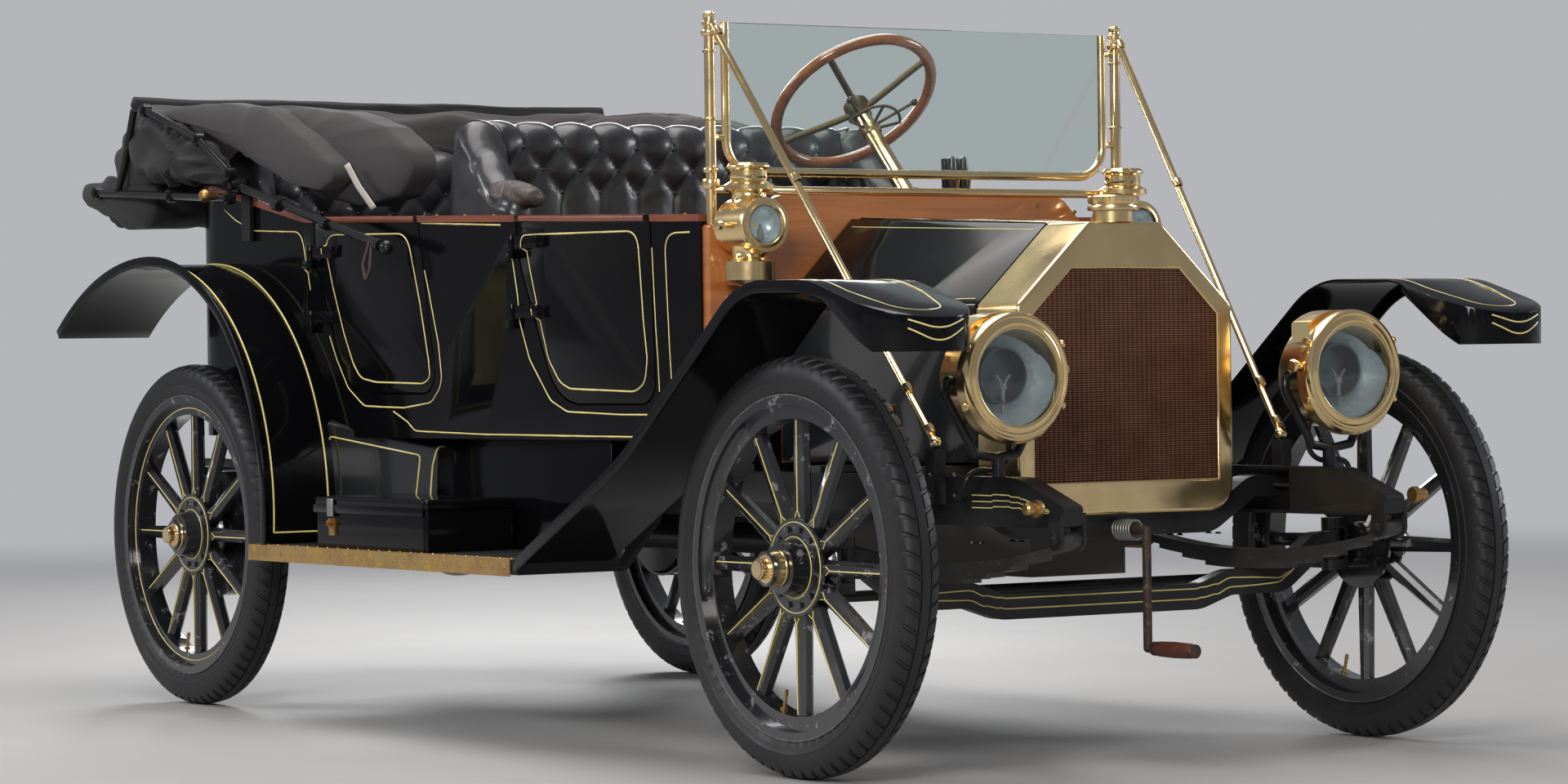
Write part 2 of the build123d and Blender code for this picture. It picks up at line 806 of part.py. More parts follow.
def wheel_shape(cap_reach, drum):
    """Rim, felloe, spokes, hub with its flange and cap, and a brake drum if asked."""
    spoke = spoke_shape()
    with BuildPart() as wheel:
        with BuildSketch(Plane.XZ):
            with BuildLine():
                Polyline((felloe_radius, -felloe_half_width), (felloe_radius, felloe_half_width),
                         (tyre_bead_radius - rim_thickness, felloe_half_width),
                         (tyre_bead_radius - rim_thickness, rim_half_width),
                         (rim_flange_radius, rim_half_width),
                         (rim_flange_radius, tyre_bead_half_width + running_gap),
                         (tyre_bead_radius - running_gap, tyre_bead_half_width + running_gap),
                         (tyre_bead_radius - running_gap, -tyre_bead_half_width - running_gap),
                         (rim_flange_radius, -tyre_bead_half_width - running_gap),
                         (rim_flange_radius, -rim_half_width),
                         (tyre_bead_radius - rim_thickness, -rim_half_width),
                         (tyre_bead_radius - rim_thickness, -felloe_half_width),
                         close=True)
            make_face()
        revolve(axis=Axis.Z)
        with PolarLocations(0, spoke_count):
            add(spoke)
        Cylinder(hub_radius, 2 * hub_half_length)
        flange_z = spoke_depth / 2 + hub_flange_thickness / 2 - flange_seat
        with Locations((0, 0, flange_z), (0, 0, -flange_z)):
            Cylinder(hub_flange_radius, hub_flange_thickness)
        base = hub_half_length
        nut = cap_reach - cap_nut_length
        with Locations((0, 0, (base + nut) / 2)):
            Cylinder(cap_radius, nut - base)
        with Locations((0, 0, nut + cap_nut_length / 2)):
            Cylinder(cap_nut_radius, cap_nut_length)
        if drum:
            with Locations((0, 0, -hub_half_length - drum_width / 2)):
                Cylinder(drum_radius, drum_width)
                Cylinder(drum_radius - 6, drum_width, mode=Mode.SUBTRACT)
            with Locations((0, 0, -hub_half_length + 4)):
                Cylinder(drum_radius, 8)
        bore_depth = 2 * hub_half_length + 8
        with Locations((0, 0, -hub_half_length + bore_depth / 2)):
            Cylinder(hub_bore_radius, bore_depth, mode=Mode.SUBTRACT)
    return wheel.part


tyre = tyre_shape()
wheels = {"front": wheel_shape(front_cap_reach, False), "rear": wheel_shape(rear_cap_reach, True)}
for end, axle_x in (("front", front_axle_x), ("rear", rear_axle_x)):
    for side, word in ((1, "left"), (-1, "right")):
        for prefix, shape in (("wheel_", wheels[end]), ("tyre_", tyre)):
            with BuildPart() as piece:
                with Locations(Location((axle_x, side * track / 2, axle_z), (-side * 90, 0, 0))):
                    add(shape)
            keep(piece, prefix + end + "_" + word)

# Engine: one plain block with its gearbox, carried on four arms
with BuildPart() as engine_block:
    engine_x = engine_front_x - engine_length / 2
    case_height = rail_top_z - crankcase_bottom_z
    with Locations((engine_x, 0, crankcase_bottom_z + case_height / 2)):
        Box(engine_length, 2 * engine_half_width, case_height)
    with Locations((engine_x, 0, (rail_top_z + engine_top_z) / 2)):
        Box(engine_length - 20, 1.3 * engine_half_width, engine_top_z - rail_top_z)
    gearbox_length = engine_front_x - engine_length - gearbox_rear_x
    with Locations((gearbox_rear_x + gearbox_length / 2, 0, axle_z + 30)):
        Box(gearbox_length, 1.6 * engine_half_width, 200)
    for arm_x in (engine_front_x - 40, engine_front_x - engine_length + 90):
        with Locations((arm_x, 0, rail_top_z + 7)):
            Box(44, 2 * rail_y + 20, 14)
keep(engine_block, "engine_block")


# Radiator
def radiator_outline(half_width, top_half_width, bottom_z, shoulder_z, top_z, radii):
    """Half outline of the radiator's front, mirrored, as lines for a face."""
    half = FilletPolyline((0, bottom_z), (half_width, bottom_z), (half_width, shoulder_z),
                          (top_half_width, top_z), (0, top_z), radius=radii)
    mirror(half, about=Plane.YZ)


with BuildPart() as radiator_shell:
    with BuildSketch(front_plane(radiator_back_x)):
        with BuildLine():
            radiator_outline(radiator_half_width, radiator_top_half_width, radiator_bottom_z,
                             radiator_shoulder_z, radiator_top_z,
                             [radiator_low_radius, radiator_high_radius, radiator_high_radius])
        make_face()
    extrude(amount=radiator_depth)
    fillet(radiator_shell.faces().sort_by(Axis.X)[-1].outer_wire().edges(), radius=8)
    with BuildSketch(front_plane(radiator_back_x)):
        with BuildLine():
            Polyline((-core_half_width, core_bottom_z), (core_half_width, core_bottom_z),
                     (core_half_width, core_shoulder_z), (core_top_half_width, core_top_z),
                     (-core_top_half_width, core_top_z), (-core_half_width, core_shoulder_z),
                     close=True)
        make_face()
    extrude(amount=radiator_depth, mode=Mode.SUBTRACT)
    with Locations((radiator_front_x - 40, 0, radiator_top_z + filler_height / 2)):
        Cylinder(filler_radius, filler_height)
keep(radiator_shell, "radiator_shell")

with BuildPart() as radiator_core:
    with BuildSketch(front_plane(radiator_back_x)):
        with BuildLine():
            Polyline((-core_half_width, core_bottom_z), (core_half_width, core_bottom_z),
                     (core_half_width, core_shoulder_z), (core_top_half_width, core_top_z),
                     (-core_top_half_width, core_top_z), (-core_half_width, core_shoulder_z),
                     close=True)
        make_face()
    extrude(amount=radiator_depth - core_setback)
keep(radiator_core, "radiator_core")


# Hood: two top panels on a middle rod, each with a side panel hinged at its lower edge
def band(points, thickness):
    """Corners of a thin band on the inner side of a run of points (y, z)."""
    inner = []
    for index, (y, z) in enumerate(points):
        normals = []
        for a, b in ((index - 1, index), (index, index + 1)):
            if a < 0 or b >= len(points):
                continue
            dy, dz = points[b][0] - points[a][0], points[b][1] - points[a][1]
            length = sqrt(dy * dy + dz * dz)
            normals.append((dz / length, -dy / length))
        ny = sum(n[0] for n in normals) / len(normals)
        nz = sum(n[1] for n in normals) / len(normals)
        scale = thickness / (ny * ny + nz * nz)
        inner.append((y + ny * scale, z + nz * scale))
    return list(points) + inner[::-1]


def shorten(a, b, length):
    """Point on the way from b to a, length away from b."""
    span = sqrt((a[0] - b[0]) ** 2 + (a[1] - b[1]) ** 2)
    return (b[0] + (a[0] - b[0]) * length / span, b[1] + (a[1] - b[1]) * length / span)


hood_rear_x = dash_front_x + panel_gap
hood_front_x = radiator_back_x - panel_gap
hood_ends = (
    # x, top half width, top z, half width, shoulder z
    (hood_front_x, radiator_top_half_width, radiator_top_z, radiator_half_width,
     radiator_shoulder_z),
    (hood_rear_x, hood_rear_top_half_width, hood_rear_top_z, hood_rear_half_width,
     hood_rear_shoulder_z),
)
hinge_reach = hood_hinge_radius + 0.8
rod_reach = hood_hinge_radius + hood_rod_clearance
with BuildPart() as hood_top_left:
    for x, top_half, top_z, half, shoulder in hood_ends:
        foot = shorten((top_half, top_z), (half, shoulder), hinge_reach + 0.7)
        with BuildSketch(front_plane(x)):
            with BuildLine():
                Polyline(*band([(rod_reach, top_z), (top_half, top_z), foot], hood_thickness),
                         close=True)
            make_face()
    loft(ruled=True)
keep(hood_top_left, "hood_top_left")

with BuildPart() as hood_side_left:
    for x, top_half, top_z, half, shoulder in hood_ends:
        with BuildSketch(front_plane(x)):
            with BuildLine():
                Polyline(*band([(half, shoulder), (half, hood_bottom_z)], hood_thickness),
                         close=True)
            make_face()
    loft(ruled=True)
    (x_a, _, _, half_a, z_a), (x_b, _, _, half_b, z_b) = hood_ends
    start = Vector(x_a, half_a - hood_thickness / 2, z_a)
    run = Vector(x_b, half_b - hood_thickness / 2, z_b) - start
    with BuildSketch(Plane(origin=start, z_dir=run)):
        Circle(hood_hinge_radius)
    extrude(amount=run.length)
    with BuildSketch(side_plane(hood_rear_half_width + hood_hinge_radius)):
        with BuildLine():
            Polyline((hood_rear_x - panel_gap, hood_rake_z), (hood_rear_x, hood_rake_z),
                     (hood_rear_x + hood_side_rake, hood_bottom_z - panel_gap),
                     (hood_rear_x - panel_gap, hood_bottom_z - panel_gap), close=True)
        make_face()
    extrude(amount=hood_rear_half_width, mode=Mode.SUBTRACT)
keep(hood_side_left, "hood_side_left")

with BuildPart() as hood_top_right:
    mirror(hood_top_left.part, about=Plane.XZ)
keep(hood_top_right, "hood_top_right")

with BuildPart() as hood_side_right:
    mirror(hood_side_left.part, about=Plane.XZ)
keep(hood_side_right, "hood_side_right")

with BuildPart() as hood_rod:
    start = Vector(radiator_back_x, 0, radiator_top_z - hood_thickness / 2)
    run = Vector(dash_front_x, 0, hood_rear_top_z - hood_thickness / 2) - start
    with BuildSketch(Plane(origin=start, z_dir=run)):
        Circle(hood_hinge_radius)
    extrude(amount=run.length)
    with Locations(((radiator_back_x + dash_front_x) / 2, 0, radiator_top_z)):
        Box(radiator_back_x - dash_front_x - 2 * running_gap, 8 * hood_hinge_radius,
            rail_height, mode=Mode.INTERSECT)
keep(hood_rod, "hood_rod")


# Ledge on the dash that the hood's rear edge closes on
def hood_section(x, inset):
    """Left half of the hood's outline at x as points (y, z), moved in by inset."""
    (x_a, *front), (x_b, *rear) = hood_ends
    share = (x_b - x) / (x_b - x_a)
    top_half, top_z, half, shoulder = [b + (a - b) * share for a, b in zip(front, rear)]
    outline = [(rod_reach, top_z), (top_half, top_z), (half, shoulder), (half, hood_bottom_z)]
    return band(outline, inset)[len(outline):][::-1]


with BuildPart() as hood_ledge:
    for x in (dash_front_x, hood_rear_x + hood_ledge_reach):
        with BuildSketch(front_plane(x)):
            with BuildLine():
                Polyline(*band(hood_section(x, hood_thickness + hood_ledge_gap), hood_thickness),
                         close=True)
            make_face()
    loft(ruled=True)
    mirror(about=Plane.XZ)
keep(hood_ledge, "hood_ledge")

# Dash board
with BuildPart() as dash_board:
    with BuildSketch(front_plane(dash_rear_x)):
        with BuildLine():
            half = FilletPolyline((0, dash_bottom_z), (rail_outer_y, dash_bottom_z),
                                  (rail_outer_y, sill_z + 30), (dash_half_width, sill_z + 30),
                                  (dash_half_width, dash_step_z),
                                  (dash_top_half_width + 60, dash_step_z),
                                  (dash_top_half_width, dash_top_z), (0, dash_top_z),
                                  radius=[12, 12, 12, 8, 30, 30])
            mirror(half, about=Plane.YZ)
        make_face()
    extrude(amount=dash_thickness)
    add(column_way, mode=Mode.SUBTRACT)
keep(dash_board, "dash_board")

# Windshield: posts, rails, the glass frame and the two stays
with BuildPart() as windshield_frame:
    post_length = post_top_z - dash_step_z
    with Locations((windshield_x, post_y, dash_step_z + post_length / 2)):
        Cylinder(post_radius, post_length)
    add(rod([(windshield_x, 0, base_rail_z), (windshield_x, post_y, base_rail_z)],
            frame_tube_radius))
    add(bent_rod(front_plane(windshield_x),
                 [(0, glass_bottom_z), (glass_rail_y, glass_bottom_z),
                  (glass_rail_y, glass_top_z)], frame_corner_radius, frame_tube_radius))
    for clamp_z in (glass_bottom_z + 70, glass_top_z - 40):
        add(rod([(windshield_x, glass_rail_y, clamp_z), (windshield_x, post_y, clamp_z)], 7))
    add(rod([(windshield_x, post_y, post_top_z - 14), (stay_foot_x, stay_foot_y, stay_foot_z)],
            stay_radius))
    with Locations((stay_foot_x, stay_foot_y, stay_foot_z)):
        Sphere(stay_radius + 4)
    mirror(about=Plane.XZ)
keep(windshield_frame, "windshield_frame")

with BuildPart() as windshield_glass:
    glass_half = glass_rail_y - frame_tube_radius - running_gap
    glass_low = glass_bottom_z + frame_tube_radius + running_gap
    with BuildSketch(front_plane(windshield_x - glass_thickness / 2)):
        with BuildLine():
            half = FilletPolyline((0, glass_low), (glass_half, glass_low),
                                  (glass_half, glass_top_z), (0, glass_top_z),
                                  radius=[frame_corner_radius - frame_tube_radius, 4])
            mirror(half, about=Plane.YZ)
        make_face()
    extrude(amount=glass_thickness)
keep(windshield_glass, "windshield_glass")

# Side lamps on the dash
lens_thickness = 4
side_lamp_face_x = side_lamp_x + 62
with BuildPart() as side_lamps:
    with BuildSketch(Plane(origin=(side_lamp_x, side_lamp_y, 0), x_dir=(1, 0, 0),
                           z_dir=(0, -1, 0))):
        with BuildLine():
            Polyline((0, side_lamp_z - 122), (42, side_lamp_z - 122),
                     (side_lamp_font_radius, side_lamp_z - 112),
                     (side_lamp_font_radius, side_lamp_z - 74), (36, side_lamp_z - 66),
                     (36, side_lamp_z + 66), (52, side_lamp_z + 72), (52, side_lamp_z + 82),
                     (38, side_lamp_z + 90), (38, side_lamp_z + 112), (46, side_lamp_z + 118),
                     (40, side_lamp_z + 127), (0, side_lamp_z + 127), close=True)
        make_face()
    revolve(axis=Axis((side_lamp_x, side_lamp_y, 0), (0, 0, 1)))
    body_run = side_lamp_face_x - side_lamp_x + 46
    with Locations(Location((side_lamp_face_x - body_run / 2, side_lamp_y, side_lamp_z),
                            (0, 90, 0))):
        Cylinder(side_lamp_radius, body_run)
    with Locations(Location((side_lamp_face_x - 20, side_lamp_y, side_lamp_z), (0, 90, 0))):
        Cylinder(side_lamp_bezel_radius - 9, 42, mode=Mode.SUBTRACT)
    bracket_run = side_lamp_x - dash_front_x
    with Locations((dash_front_x + bracket_run / 2, side_lamp_y, side_lamp_z - 90)):
        Box(bracket_run, 20, 14)
    mirror(about=Plane.XZ)
keep(side_lamps, "side_lamps")

# Headlamps: drum, bezel, back dome, reflector and the vent on top
def headlamp_shape():
    """One headlamp, its face at the origin and looking along +X."""
    with BuildPart() as lamp:
        with BuildSketch(Plane.XZ):
            with BuildLine():
                Polyline((0, lens_radius + 2), (0, bezel_radius - 6), (-8, bezel_radius),
                         (-34, bezel_radius), (-40, headlamp_body_radius),
                         (-headlamp_body_depth + 40, headlamp_body_radius))
                ThreePointArc((-headlamp_body_depth + 40, headlamp_body_radius),
                              (-headlamp_body_depth + 12, 74),
                              (-headlamp_body_depth, headlamp_flat_radius))
                Polyline((-headlamp_body_depth, headlamp_flat_radius),
                         (-headlamp_body_depth, 0), (-headlamp_body_depth + 8, 0),
                         (-headlamp_body_depth + 8, headlamp_flat_radius - 4))
                ThreePointArc((-headlamp_body_depth + 8, headlamp_flat_radius - 4),
                              (-96, 66), (-24, lens_radius))
                Polyline((-24, lens_radius), (-14, lens_radius), (0, lens_radius + 2))
            make_face()
        revolve(axis=Axis.X)
        with BuildSketch(Plane.YZ.offset(-100)):
            Circle(headlamp_body_radius + 26)
            Circle(headlamp_body_radius - 6, mode=Mode.SUBTRACT)
            with Locations((0, headlamp_body_radius)):
                Rectangle(1.5 * headlamp_body_radius, 110, mode=Mode.INTERSECT)
        extrude(amount=56)
    return lamp.part


headlamp = headlamp_shape()
with BuildPart() as headlamps:
    with Locations((headlamp_face_x, headlamp_y, headlamp_z),
                   (headlamp_face_x, -headlamp_y, headlamp_z)):
        add(headlamp)
keep(headlamps, "headlamps")

with BuildPart() as lamp_glass:
    with Locations(Location((headlamp_face_x - 14 - lens_thickness / 2, headlamp_y, headlamp_z),
                            (0, 90, 0))):
        Cylinder(lens_radius - running_gap, lens_thickness)
    with Locations(Location((side_lamp_face_x - 8, side_lamp_y, side_lamp_z), (0, 90, 0))):
        Cylinder(side_lamp_bezel_radius - 9 - running_gap, lens_thickness)
    mirror(about=Plane.XZ)
keep(lamp_glass, "lamp_glass")

# Forked brackets that carry the headlamps on the frame horns
fork_x = headlamp_face_x - fork_set_back
fork_reach = headlamp_body_radius + bracket_radius + 5
with BuildPart() as lamp_brackets:
    for side in (1, -1):
        add(rod([(fork_x, headlamp_y + side * fork_reach, headlamp_z),
                 (fork_x, headlamp_y + side * fork_reach, headlamp_z - fork_straight),
                 (fork_x, headlamp_y + side * 50, headlamp_z - 140),
                 (fork_x, headlamp_y, headlamp_z - 148)], bracket_radius))
        with Locations(Location((fork_x, headlamp_y + side * (headlamp_body_radius + 5),
                                 headlamp_z), (90, 0, 0))):
            Cylinder(11, 9.2)
    stem = headlamp_z - 148 - rail_top_z
    with Locations((fork_x, headlamp_y - 6, rail_top_z + stem / 2)):
        Cylinder(bracket_radius + 4, stem)
    mirror(about=Plane.XZ)
keep(lamp_brackets, "lamp_brackets")


# Fenders
def fender_side(lines, thickness):
    """Closed ribbon on the inner side of a fender's side view."""
    with BuildSketch(side_plane(fender_outer_y)) as ribbon:
        with BuildLine():
            path = lines()
            offset(path, amount=thickness, side=Side.RIGHT, closed=True)
        make_face()
    return ribbon.sketch


def front_fender_line():
    """Upper edge of the front fender, from its foot on the board to its nose."""
    return FilletPolyline((board_front_x + running_gap, board_top_z - 4),
                          (front_axle_x - 464, 612), (front_axle_x - 24, 957),
                          (front_axle_x + 216, 954), (front_end_x, 880),
                          radius=[900, 230, 260])


def rear_fender_line():
    """Upper edge of the rear fender, from its tail over the wheel to its foot."""
    crown = (rear_axle_x + 3, 1046)
    shoulder = (rear_axle_x + 500, 750)
    tail = TangentArc(crown, (rear_axle_x - 499, 880), tangent=(-1, 0))
    brow = TangentArc(crown, shoulder, tangent=(1, 0))
    shin = TangentArc(shoulder, (rear_axle_x + 566, board_top_z), tangent=brow % 1)
    return Wire([tail, brow, shin])


def nose_plan(inner_y, outer_y, rear_x, low, high, radius):
    """Upright block over a fender's plan, its front corners rounded."""
    with BuildPart() as block:
        with BuildSketch(Plane.XY.offset(low)):
            with BuildLine():
                FilletPolyline((rear_x, inner_y), (front_end_x, inner_y), (front_end_x, outer_y),
                               (rear_x, outer_y), radius=radius)
                Line((rear_x, outer_y), (rear_x, inner_y))
            make_face()
        extrude(amount=high - low)
    return block.part


# Front fenders: a curved sheet with a turned-down edge and a visor lip round its nose
fender_width = fender_outer_y - fender_inner_y
nose_radius = 112
lip_start_x = front_axle_x + 250
lip_bottom_z = 817
with BuildPart() as front_fenders:
    extrude(fender_side(front_fender_line, fender_thickness), amount=fender_width)
    extrude(fender_side(front_fender_line, fender_lip), amount=fender_thickness)
    add(nose_plan(fender_inner_y, fender_outer_y, board_front_x - 40, 0, post_top_z, nose_radius),
        mode=Mode.INTERSECT)
    visor = nose_plan(fender_inner_y, fender_outer_y, lip_start_x, lip_bottom_z, post_top_z,
                      nose_radius)
    hollow = (nose_plan(fender_inner_y + fender_thickness, fender_outer_y - fender_thickness,
                        lip_start_x - fender_width, lip_bottom_z, post_top_z,
                        nose_radius - fender_thickness).moved(Location((-fender_thickness, 0, 0))))
    with BuildSketch(side_plane(fender_outer_y)) as under:
        with BuildLine():
            top = front_fender_line()
            Polyline(top @ 1, (front_end_x, lip_bottom_z),
                     (front_end_x - 60, lip_bottom_z), (lip_start_x, 925),
                     (board_front_x, board_top_z - board_thickness), top @ 0)
        make_face()
    add((visor - hollow) & extrude(under.sketch, amount=fender_width, mode=Mode.PRIVATE))
    mirror(about=Plane.XZ)
keep(front_fenders, "front_fenders")

# Rear fenders: an arch over the wheel, trimmed to the body's side
with BuildPart() as rear_fenders:
    extrude(fender_side(rear_fender_line, fender_thickness), amount=fender_width)
    extrude(fender_side(rear_fender_line, fender_lip), amount=fender_thickness)
    extrude(body_plan(0, -running_gap), amount=post_top_z, mode=Mode.SUBTRACT)
    with Locations((board_rear_x, fender_outer_y, board_top_z / 2)):
        Box(4 * fender_width, 4 * fender_width, board_top_z + 2 * running_gap,
            mode=Mode.SUBTRACT)
    mirror(about=Plane.XZ)
keep(rear_fenders, "rear_fenders")

# Running boards with the irons that carry them from the frame rails
iron_stations = (rear_axle_x + 620, rear_axle_x + 1100, board_front_x - 90)
with BuildPart() as running_boards:
    board_length = board_front_x - board_rear_x
    board_width = fender_outer_y - board_inner_y
    with Locations((board_rear_x + board_length / 2, board_inner_y + board_width / 2,
                    board_top_z - board_thickness / 2)):
        Box(board_length, board_width, board_thickness)
    for iron_x in iron_stations:
        with BuildSketch(front_plane(iron_x - 20)) as iron:
            with BuildLine():
                FilletPolyline((rail_outer_y + 5, rail_top_z - 15),
                               (rail_outer_y + 5, rail_bottom_z - 10),
                               (board_inner_y - 60, board_top_z - board_thickness - 5),
                               (fender_outer_y - 60, board_top_z - board_thickness - 5),
                               radius=20)
            trace(line_width=10)
        extrude(amount=40)
    mirror(about=Plane.XZ)
keep(running_boards, "running_boards")

# Splash aprons from the body's sill down to the boards
with BuildPart() as splash_aprons:
    apron_rear_x = board_rear_x + 70
    with BuildSketch(front_plane(apron_rear_x)):
        with BuildLine():
            FilletPolyline((apron_y, sill_z - running_gap), (apron_y, board_top_z + 60),
                           (board_inner_y - apron_thickness / 2, board_top_z - 4), radius=120)
        trace(line_width=apron_thickness)
        with Locations((apron_y, (sill_z + board_top_z - 8) / 2 - running_gap)):
            Rectangle(200, sill_z - board_top_z + 8, mode=Mode.INTERSECT)
    extrude(amount=board_front_x - 60 - apron_rear_x)
    mirror(about=Plane.XZ)
keep(splash_aprons, "splash_aprons")

# Tool box on the right running board, and its lid
box_outer_y = -tool_box_outer_y
box_centre = (tool_box_rear_x + tool_box_length / 2, box_outer_y + tool_box_width / 2)
with BuildPart() as tool_box:
    with Locations((*box_centre, board_top_z + tool_box_height / 2)):
        Box(tool_box_length, tool_box_width, tool_box_height)
        fillet(tool_box.edges().filter_by(Axis.Z), radius=12)
    top = tool_box.faces().sort_by(Axis.Z)[-1]
    offset(amount=-tool_box_wall, openings=top)
keep(tool_box, "tool_box")

lid_z = board_top_z + tool_box_height + running_gap
with BuildPart() as tool_box_lid:
    with Locations((*box_centre, lid_z + tool_box_lid_height / 2)):
        Box(tool_box_length + 6, tool_box_width + 6, tool_box_lid_height)
    fillet(tool_box_lid.edges().filter_by(Axis.Z), radius=14)
    fillet(tool_box_lid.faces().sort_by(Axis.Z)[-1].edges(), radius=8)
keep(tool_box_lid, "tool_box_lid")

# Steering column with its box on the left frame rail
slope = radians(column_slope)
column_down = Vector(cos(slope), 0, -sin(slope))
wheel_centre = Vector(steering_wheel_x, steering_wheel_y, steering_wheel_z)
column_foot_z = rail_top_z + 40
column_length = (steering_wheel_z - column_foot_z) / sin(slope)
steering_box_rear_x = dash_front_x + 36
steering_box = (80, 80, 76)
with BuildPart() as steering_column:
    with BuildSketch(Plane(origin=wheel_centre + column_down * 44.5, z_dir=column_down)):
        Circle(column_radius)
    extrude(amount=column_length - 44.5)
    with Locations((steering_box_rear_x + steering_box[0] / 2, steering_wheel_y,
                    rail_top_z + steering_box[2] / 2)):
        Box(*steering_box)
    foot_width = rail_y - steering_wheel_y + steering_box[1] / 2
    with Locations((steering_box_rear_x + steering_box[0] / 2, rail_y - foot_width / 2,
                    rail_top_z + 7)):
        Box(steering_box[0], foot_width, 14)
keep(steering_column, "steering_column")

# Steering wheel: rim, four arms and the hub
with BuildPart() as steering_wheel:
    wheel_plane = Plane(origin=wheel_centre, x_dir=(0, 1, 0), z_dir=-column_down)
    with BuildSketch(wheel_plane):
        Circle(30)
    extrude(amount=24, both=True)
    with Locations(Location(wheel_plane)):
        Torus(steering_wheel_radius, steering_rim_radius)
    for turn in range(4):
        angle = radians(45 + 90 * turn)
        tip = (steering_wheel_radius - 4)
        outer = wheel_plane.from_local_coords((tip * cos(angle), tip * sin(angle), 0))
        add(rod([tuple(wheel_centre), tuple(outer)], 7))
    with BuildSketch(Plane(origin=wheel_centre + column_down * 44, z_dir=-column_down)):
        Circle(12)
    extrude(amount=44)
keep(steering_wheel, "steering_wheel")

# Hand levers and pedals
with BuildPart() as control_levers:
    for offset_y, lean in ((-16, 40), (16, 90)):
        add(rod([(lever_x + lean, lever_y + offset_y, sill_z + floor_thickness + 4),
                 (lever_x, lever_y + offset_y, lever_top_z)], 8))
        with Locations((lever_x + lean, lever_y + offset_y, sill_z + floor_thickness + 6)):
            Box(60, 20, 12)
keep(control_levers, "control_levers")

# Starting crank: shaft through the front cross member, arm and grip
with BuildPart() as crank:
    grip_z = crank_z - crank_arm
    add(rod([(crank_jaw_x, 0, crank_z), (crank_elbow_x, 0, crank_z),
             (crank_elbow_x, 0, grip_z), (crank_elbow_x + crank_grip_length + 20, 0, grip_z)],
            crank_radius))
    grip_x = crank_elbow_x + 20 + crank_grip_length / 2
    with Locations(Location((grip_x, 0, grip_z), (0, 90, 0))):
        Cylinder(crank_grip_radius, crank_grip_length)
keep(crank, "crank")


# Seats: a riser box, a cushion and a back that wraps round to two arms
def seat(back_x, half_width, depth, arm_length, top_z, arm_z):
    """One bench seat on the floor, kept inside the body's walls."""
    base_z = sill_z + floor_thickness
    with BuildPart() as bench:
        with Locations((back_x + depth / 2 + 40, 0, (base_z + seat_cushion_z) / 2)):
            Box(depth - 80, 2 * half_width - 20, seat_cushion_z - base_z)
        with BuildSketch(Plane.XY.offset(seat_cushion_z - 80)):
            with Locations((back_x + arm_length / 2, 0)):
                RectangleRounded(arm_length, 2 * half_width, 120)
            with Locations((back_x + arm_length, 0)):
                Rectangle(arm_length, 2 * half_width)
            with Locations((back_x + seat_back_thickness + arm_length, 0)):
                RectangleRounded(2 * arm_length, 2 * (half_width - seat_back_thickness * 0.7),
                                 60, mode=Mode.SUBTRACT)
            with Locations((back_x + arm_length / 2, 0)):
                Rectangle(arm_length, 3 * half_width, mode=Mode.INTERSECT)
        extrude(amount=top_z - seat_cushion_z + 80)
        with BuildSketch(side_plane(half_width)) as profile:
            with BuildLine():
                Polyline((back_x - 10, base_z), (back_x - 10, top_z),
                         (back_x + seat_back_thickness, top_z),
                         (back_x + arm_length, arm_z), (back_x + depth + 40, arm_z),
                         (back_x + depth + 40, base_z), close=True)
            make_face()
        extrude(amount=4 * half_width, both=True, mode=Mode.INTERSECT)
        extrude(body_plan(0, body_wall + cap_proud + seat_clearance), amount=post_top_z,
                mode=Mode.INTERSECT)
    return bench


front_seat = seat(front_seat_back_x, front_seat_half_width, front_seat_depth, 330,
                  front_seat_top_z, 1161)
keep(front_seat, "front_seat")
rear_seat = seat(body_back_x + body_wall + seat_clearance,
                 body_half_width - body_wall - cap_proud - 24, rear_seat_depth, 330,
                 rear_seat_top_z, 1180)
keep(rear_seat, "rear_seat")

# Folded top: the bundle behind the body and its two side flaps
flap_inner_y = body_half_width + cap_proud + running_gap
with BuildPart() as folded_top:
    bundle_front_x = body_back_x - cap_proud - running_gap
    with BuildSketch(side_plane(top_half_width)):
        with BuildLine():
            Polyline((rear_end_x, 1250), (rear_end_x + 70, 1305), (rear_axle_x - 590, 1335),
                     (top_bow_x - 24, top_bow_z), (top_bow_x + 26, top_bow_z - 4),
                     (bundle_front_x, 1370), (bundle_front_x, 1170), (rear_axle_x - 505, 1163),
                     (rear_end_x + 60, 1190), close=True)
        make_face()
    extrude(amount=2 * top_half_width)
    for side in (1, -1):
        with BuildSketch(side_plane(side * top_half_width)):
            with BuildLine():
                Polyline((rear_axle_x - 590, 1335), (rear_axle_x - 100, 1330),
                         (top_pivot_x - 50, top_pivot_z + 20), (top_pivot_x - 50, 1205),
                         (rear_axle_x - 140, 1124), (rear_axle_x - 505, 1163), close=True)
            make_face()
        extrude(amount=side * (top_half_width - flap_inner_y))
keep(folded_top, "folded_top")

# Brackets on the body that carry the top's irons
iron_y = top_half_width - iron_radius - 11
with BuildPart() as top_brackets:
    with Locations((top_pivot_x, body_half_width + cap_proud + 5, top_pivot_z - 55)):
        Box(44, 2 * 5, 150)
    pin_length = iron_y + 26 - body_half_width - cap_proud - 5
    with Locations(Location((top_pivot_x, body_half_width + cap_proud + 5 + pin_length / 2,
                             top_pivot_z), (90, 0, 0))):
        Cylinder(8, pin_length)
    mirror(about=Plane.XZ)
keep(top_brackets, "top_brackets")

